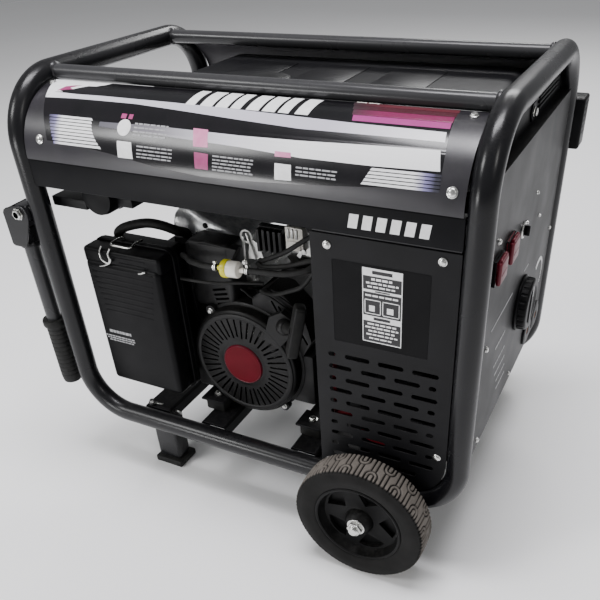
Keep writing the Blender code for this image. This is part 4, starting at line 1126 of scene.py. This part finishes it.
def intake():
    """The breather hose, the fuel hoses and the filter between them."""
    loop = [(64, 80, 289), (64, 80, 298), (78, 79, 308), (100, 80, 316), (126, 83, 321), (148, 90, 317),
            (161, 103, 306), (165, 119, 297), (165, 122, 289), (165, 122, 281)]
    piece("breather_tube", cord(loop, 7.4, 28, 10), "rubber", stands_for="breather_hose")
    right = [(322, 40, 296), (345, 40, 298), (385, 38, 303), (418, 44, 311), (429, 57, 322), (430, 62, 335),
             (430, 62, 345.6)]
    piece("fuel_line_tap", cord(right, 4.5, 24, 10), "rubber", stands_for="fuel_hose_tap")
    left = [(276.4, 40, 293), (250, 41, 291), (222, 49, 289), (206, 61, 287), (191, 71, 284),
            (185, 84, 276), (185, 100, 258), (185, 112, 247), (185, 121.2, 246)]
    piece("fuel_line_carburettor", cord(left, 4.5, 24, 10), "rubber", stands_for="fuel_hose_carburettor")
    start, flow = (277, 40, 293), (1, 0, 0.06)
    yellow = [(0, 0.2), (3.6, 0.2), (3.8, 6), (6, 8), (11.6, 8.6), (13.1, 10), (13.4, 16.5), (12.6, 18.2),
              (0, 18.2)]
    body = [(0, 18), (11.9, 18), (12.0, 33), (11.2, 35), (8.5, 36), (4, 36.2), (3.8, 44), (0, 44)]
    piece("filter_cap", turned(start, flow, yellow), "yellow", stands_for="fuel_filter")
    piece("filter_body", turned(start, flow, body), "pale")
    springs = []
    for x, y, z in ((272, 40.2, 292.7), (326, 40, 296.2)):
        for shift in (-1.4, 1.4):
            springs.append(ring((x + shift, y, z), (1, 0, 0.05),
                                [(4.6, -0.7), (6.0, -0.7), (6.0, 0.7), (4.6, 0.7)], 24))
        springs.append(box((x - 2.2, x + 2.2), (y - 2, y + 2), (z + 5, z + 9.5), 0.4))
    piece("hose_clips", springs, "zinc")


def exhaust_shield():
    """Dented bright sheet over the exhaust side, folded down along its front."""
    top_line = [(140, 322), (148, 331), (156, 335), (169, 336), (186, 323), (205, 316), (229, 308),
                (246, 303), (260, 294)]
    low_line = [(134, 292), (146, 279), (155, 291), (176, 293), (197, 293), (212, 294), (227, 294),
                (244, 293), (259, 290)]
    rng = np.random.default_rng(9)
    bm = bmesh.new()
    rows = []
    for (tx, tz), (lx, lz) in zip(top_line, low_line):
        column = []
        for k in range(5):
            f = k / 4
            dent = float(rng.uniform(-1.6, 1.6)) if 0 < k < 4 else 0.0
            column.append(bm.verts.new((lx + (tx - lx) * f, 128.5 + dent + 4 * f * f, lz + (tz - lz) * f)))
        for k in range(1, 10):
            back = k / 9
            dent = float(rng.uniform(-1.5, 1.5))
            column.append(bm.verts.new((tx + back * 4, 132.5 + back * 125, tz + dent - 6 * back)))
        rows.append(column)
    for a, b in zip(rows, rows[1:]):
        for k in range(len(a) - 1):
            bm.faces.new((a[k], b[k], b[k + 1], a[k + 1]))
    shield = piece("shield_sheet", bm, "foil", stands_for="heat_shield", smooth=70)
    skin = shield.modifiers.new("skin", "SOLIDIFY")
    skin.thickness = 0.8 * MM
    skin.offset = 0
    blur = shield.modifiers.new("round", "SUBSURF")
    blur.levels = 2
    blur.render_levels = 2
    dome_bolt("shield_bolt", (197, 129, 309), FRONT, 3.4, mat="engine", hexagon=True)


def lifting_bracket():
    """Pressed eye with a bright foot, bolted beside the duct."""
    plate = prism([(284, 277), (311, 281), (305, 304), (296, 309), (288, 306)], "Y", 108.5, 111.5)
    loop = ring((284, 110, 313), REAR, [(7.4, -1.6), (10.8, -1.6), (10.8, 1.6), (7.4, 1.6)])
    legs = [box((275.5, 279.5), (108.6, 111.4), (275, 312), 0.6),
            box((289.5, 292.4), (108.6, 111.4), (298, 312), 0.6),
            moved(box((296, 299), (104, 111), (280, 322), 0.6), turn_about((297, 108, 284), -17, "Y"))]
    piece("eye_bracket", [plate, loop] + legs, "plated", stands_for="lifting_eye", bevel=0.4)
    dome_bolt("duct_bolt", (264, 96, 291), (0, -1, 0.3), 6.4, hexagon=True)
    dome_bolt("bracket_bolt", (281, 102, 274), FRONT, 3.6, hexagon=True)


def loose_wiring():
    """Leads that fan out from the engine to the electronics bay, and the blocks they plug into."""
    bundles = [([(330, 70, 300), (346, 56, 309), (384, 50, 330), (408, 50, 347), (430, 54, 362)], 3.4),
               ([(328, 66, 296), (345, 52, 300), (382, 48, 309), (412, 48, 320), (440, 52, 331)], 3.8),
               ([(330, 62, 290), (344, 54, 293), (390, 46, 300), (424, 46, 307), (446, 50, 314)], 2.6),
               ([(446, 50, 322), (430, 47, 312), (416, 46, 293), (404, 47, 281), (390, 50, 273),
                 (362, 58, 258), (339, 70, 248), (318, 82, 243)], 3.2),
               ([(350, 98, 330), (366, 92, 345), (392, 96, 356), (420, 110, 360)], 2.4),
               ([(196, 52, 255), (226, 50, 257), (262, 54, 258), (300, 62, 262), (330, 72, 262)], 2.6)]
    piece("engine_leads", [cord(route, radius, 16) for route, radius in bundles], "rubber")
    block = [box((364, 392), (86, 104), (314, 349), 1.5), box((367, 388), (84.4, 88), (318, 329), 0.6)]
    piece("lead_plug", block, "pale")
    ribs = [box((368 + i * 6.4, 371.4 + i * 6.4), (83.8, 87), (333, 347), 0.5) for i in range(3)]
    piece("lead_plug_ribs", ribs, "alloy")
    tie = [moved(box((405, 411), (46, 50), (327, 337), 0.8), turn_about((408, 48, 332), 30, "Y")),
           turned((415, 47, 337), FRONT, [(0, 0), (3.4, 0), (3.4, 3), (0, 4)], 20)]
    piece("lead_ties", tie, "alloy")


def canister():
    """Charcoal canister with its strap, behind the air cleaner's top."""
    profile = [(0, 0), (20, 0), (25, 3), (27, 9), (27, 76), (25, 83), (12, 86), (0, 86)]
    back = (97, 100, 380)
    piece("canister", turned(back, FRONT, profile, 64), "plastic")
    strap = [ring(back, FRONT, [(27.2, 30), (28.6, 30), (28.6, 48), (27.2, 48)], 64),
             box((6, 72), (20, 60), (357, 372), 2.0), box((122, 150), (30, 60), (366, 380), 2.0)]
    piece("canister_strap", strap, "sheet")


def engine_mounts():
    """Bright bolts and rubber blocks that hold the crankcase feet on the cross members."""
    mounts = [(x, y) for y in (64, 344) for x in (222, 402)]
    blocks = [box((x - 18, x + 18), (y - 14, y + 14), (11.3, 33), 3.0) for x, y in mounts]
    piece("mount_blocks", blocks, "rubber")
    plates = [box((x - 22, x + 22), (y - 20, y + 20), (33, 37), 1.0) for x, y in mounts]
    plates += [box((x - 16, x + 16), (60, 146), (30, 36), 1.0) for x in (222, 402)]
    piece("mount_plates", plates, "sheet")
    for i, (x, y) in enumerate(mounts):
        dome_bolt(f"mount_bolt_{i}", (x, y, 37), UP, 6.0, hexagon=True)
    clamp = [cord([(92, 34, 2), (96, 30, 8), (106, 26, 11), (118, 26, 12), (126, 30, 9)], 2.0),
             turned((110, 20, 14), UP, [(0, 0), (6, 0), (6, 4), (4, 8), (0, 8)], 6),
             cord([(150, 30, 3), (158, 27, 6), (166, 27, 3)], 1.8)]
    piece("foot_clamps", clamp, "zinc")


# ---------- tank

def tank():
    """The fuel tank with its seam, ribs, gauge, neck and cap."""
    x, y = (112, 622), (40, 405)
    seam = rounded((x[0] - 8, x[1] + 8), (y[0] - 8, y[1] + 8), 26, 8)
    neck = [(0, 0), (27, 0), (25, 3), (24, 9), (21, 9), (21, 0)]
    shell = [box(x, y, (386, TANK_TOP), 26.0, 6), prism(seam, "Z", 440, 444),
             turned((*FUEL_CAP, TANK_TOP - 1), UP, neck, 64), box((418, 442), (50, 74), (362, 392), 2.0),
             rod((430, 62, 364), (430, 62, 346), 5.0, 24)]
    piece("tank_shell", shell, "tank", stands_for="fuel_tank", smooth=30, bevel=0.4)
    ribs = [box((190 + i * 120, 270 + i * 120), (200, 330), (503.5, 506.2), 1.2) for i in range(3)]
    piece("tank_ribs", ribs, "tank")
    gauge = [(0, -1), (20, -1), (20, 6.4), (18.6, 8.0), (15.5, 8.4), (15.5, 7.4), (0, 7.4)]
    piece("gauge_body", turned((*FUEL_GAUGE, TANK_TOP), UP, gauge, 64), "plastic")
    window = [(0, 0), (15.3, 0), (15.3, 0.7), (0, 0.9)]
    piece("gauge_window", turned((*FUEL_GAUGE, TANK_TOP + 7.2), UP, window), "pale")
    piece("gauge_needle", box((479, 481), (104, 121), (513.0, 513.6)), "red")
    profile = [(0, 9.2), (24.6, 9.2), (24.6, 2), (31.4, 2), (33, 4), (33, 20), (31.5, 23.5), (28, 25.6),
               (0, 26)]
    seat = Vector((*FUEL_CAP, TANK_TOP))
    cap = piece("cap_body", turned(seat, UP, profile, 96), "plastic", "fuel_cap", "fuel_cap")
    notches = []
    for i in range(12):
        notch = rod(seat + Vector((34.4, 0, 0)), seat + Vector((34.4, 0, 30)), 3.4, 20)
        notches.append(moved(notch, turn_about(seat, i * 30, "Z")))
    cut(cap, gather(notches))
    boss = turned(seat, UP, [(0, 25), (14, 25), (13, 26), (0, 26)])
    piece("cap_boss", boss, "plastic", "fuel_cap")


# ---------- right end

def end_panel():
    """Controls on the right end: socket flaps, weld outlets, current knob and key."""
    face, upper = END_FACE, UPPER_FACE
    louvres = [box((upper - 0.3, upper + 3.0), (262, 384), (482 + i * 6.4, 482 + i * 6.4 + 3.0), 0.9)
               for i in range(4)]
    piece("end_louvres", louvres, "sheet")
    lip = [(40, 476), (92, 476), (97, 480), (97, 496), (94, 498), (94, 481), (91, 479), (40, 479)]
    piece("end_latch", prism(lip, "X", upper, upper + 6), "rim", bevel=0.5)
    plate = turned((upper, 232, 486), RIGHT, [(0, 0), (13, 0), (13, 2.2), (0, 2.2)], 6)
    piece("hex_plate", plate, "sheet", bevel=0.4)
    dome_bolt("hex_plate_bolt", (upper + 2.2, 232, 486), RIGHT, 5.4, hexagon=True)
    for i, (y, z) in enumerate(((47, 391), (42, 248), (46, 97), (402, 97), (414, 262), (222, 97))):
        dome_bolt(f"end_bolt_{i}", (face, y, z), RIGHT, 3.4 if y < 100 else 2.6)
    for i, (y, z) in enumerate(((206, 352), (298, 327), (257, 375))):
        dome_bolt(f"end_screw_{i}", (face, y, z), RIGHT, 2.0)
    lines = [box((face, face + 0.35), (61, 171), (262, 263.8)),
             box((face, face + 0.35), (240, 266), (263, 265))]
    rng = np.random.default_rng(31)
    for y0, y1, z in ((100, 152, 212), (102, 162, 181), (114, 172, 160), (130, 179, 140), (137, 187, 122)):
        lines += [box((face, face + 0.35), ys, (z, z + 3.0)) for ys in dashes(rng, y0, y1, (6, 14), 1.8, 3)]
    piece("end_marks", lines, "grey_ink")
    arc = []
    for i in range(15):
        start, end = radians(-35 + i * 11), radians(-35 + i * 11 + 9)
        inner, outer = 31, 31 + 2.0 + i * 0.45
        corners = [(start, inner), (end, inner), (end, outer), (start, outer)]
        outline = [(DIAL_SCALE[0] + r * cos(t), DIAL_SCALE[1] + r * sin(t)) for t, r in corners]
        arc.append(prism(outline, "X", face, face + 0.4))
    piece("dial_scale", arc, "ink")
    skirt = [(0, 0.3), (41, 0.3), (42, 1.2), (42, 3), (39.4, 4.6), (39, 13.6), (38, 15.6), (35.6, 17),
             (30, 17.3), (27, 15.6), (0, 15.6)]
    ky, kz = KNOB
    knob = piece("knob_body", turned((face, ky, kz), RIGHT, skirt, 120), "plastic", "current_knob",
                 "current_knob")
    flutes = []
    for i in range(24):
        flute = rod((face + 5.4, ky + 42.0, kz), (face + 30, ky + 42.0, kz), 4.0, 16)
        flutes.append(moved(flute, turn_about((0, ky, kz), i * 15, "X")))
    cut(knob, gather(flutes))
    bar = box((face + 15.0, face + 17.2), (ky - 6, ky + 6), (kz - 31, kz + 31), 2.0)
    piece("knob_bar", bar, "plastic", "current_knob")
    pointer = box((face + 17.0, face + 17.5), (ky - 1.2, ky + 1.2), (kz + 13, kz + 29))
    piece("knob_pointer", pointer, "ink", "current_knob")
    bezel = [(8.3, 0.3), (11, 0.3), (11.2, 1.6), (10.2, 2.8), (8.8, 2.9), (8.3, 2.2)]
    piece("switch_bezel", ring((face, *KEY_SWITCH), RIGHT, bezel, 64), "zinc")
    blade = [turned((face, *KEY_SWITCH), RIGHT, [(0, 0.3), (8, 0.3), (8, 3.4), (0, 3.4)]),
             box((face + 3, face + 10), (182.4, 185.6), (343, 357), 1.2)]
    piece("switch_key", blade, "plastic", "engine_switch", "engine_switch")
    for side, (y, z) in SOCKETS.items():
        socket(side, y, z)
    for i, at in enumerate(WELD_OUTLETS):
        outlet = [(7, -13), (7, 4.2), (12, 4.6), (20, 4.6), (23.6, 3.4), (24.4, 1.6), (24.4, -1), (22, -13)]
        piece(f"weld_outlet_{i}", ring((face, *at), RIGHT, outlet, 64), "plastic")
        bush = [(0, -13), (6.9, -13), (6.9, 3.4), (5.2, 3.4), (5.2, -11), (0, -11)]
        piece(f"weld_bush_{i}", turned((face, *at), RIGHT, bush), "copper")


def socket(side, y, z):
    """Small outlet under a sprung cover that hinges along its top."""
    face = END_FACE
    body = f"outlet_flap_{side}"
    surround = box((face - 0.5, face + 4), (y - 18, y + 18), (z - 16, z + 16), 1.6, 4)
    piece(f"socket_body_{side}", surround, "red")
    lid = box((face + 4.3, face + 10), (y - 16.5, y + 16.5), (z - 15, z + 14), 2.6, 5)
    piece(f"socket_lid_{side}", lid, "red", body, f"outlet_cover_{side}")
    rib = box((face + 9.6, face + 10.4), (y - 12, y + 12), (z - 3.2, z - 1.4), 0.35)
    piece(f"socket_lid_rib_{side}", rib, "red", body)
    knuckle = rod((face + 7, y - 13, z + 15), (face + 7, y + 13, z + 15), 2.5, 24, 0.6)
    piece(f"socket_hinge_{side}", knuckle, "red", body)


def rear_terminal():
    """The ribbed box that stands out behind the rear right post."""
    ys = (WIDTH + TUBE_R + 0.3, WIDTH + TUBE_R + 42)
    shell = [box((612, 686), ys, (374, 450), 4.0, 4),
             box((606, 612.5), (ys[0], ys[0] + 14), (380, 444), 1.5)]
    for i in range(6):
        shell.append(box((616, 682), (ys[1] - 1.5, ys[1]), (384 + i * 10.5, 389 + i * 10.5), 0.7))
        shell.append(box((684.6, 686), (ys[0] + 6, ys[1] - 6), (396 + i * 8.5, 400 + i * 8.5), 0.6))
    piece("terminal_box", shell, "plastic", stands_for="rear_terminal_box")
    piece("terminal_screws", [rod((684, y, 383), (686, y, 383), 2.6, 20) for y in (470, 496)], "zinc")


# ---------- pieces kept from the CAD

DRESSED = [("engine", 1.5, "crankcase", "rocker_cover", "muffler", "voltage_regulator"),
           ("engine", 0.8, "carburettor"), ("alloy", 0.8, "cylinder", "flywheel", "stator"),
           ("copper", 0.8, "rotor_shaft"), ("sheet", 0.8, "control_panel"),
           ("plastic", 0.8, "inverter_module", "cooling_fan", "fuel_tap_lever"),
           ("zinc", 0.5, "choke_lever"), ("yellow", 0.8, "oil_dipstick")]


def dress(mat, width, *nodes):
    """Gives CAD nodes that stay a material and rounded edges."""
    for name in nodes:
        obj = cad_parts[name]
        obj.data.materials.clear()
        obj.data.materials.append(M[mat])
        round_edges(obj, width * MM, 2)


aim_camera()
studio()
for side in ("front", "rear"):
    for build in (frame_hoop, side_beam, tank_panel, fade_panel, panel_marks, panel_bolts, bay_cover, tyre,
                  wheel_rim, handle):
        build(side)
for build in (foot_members, behind_slots, recoil_starter, fan_cowl, recoil_handle, air_cleaner, intake,
              exhaust_shield, lifting_bracket, loose_wiring, canister, engine_mounts, tank, end_panel,
              rear_terminal):
    build()
for row in DRESSED:
    dress(*row)
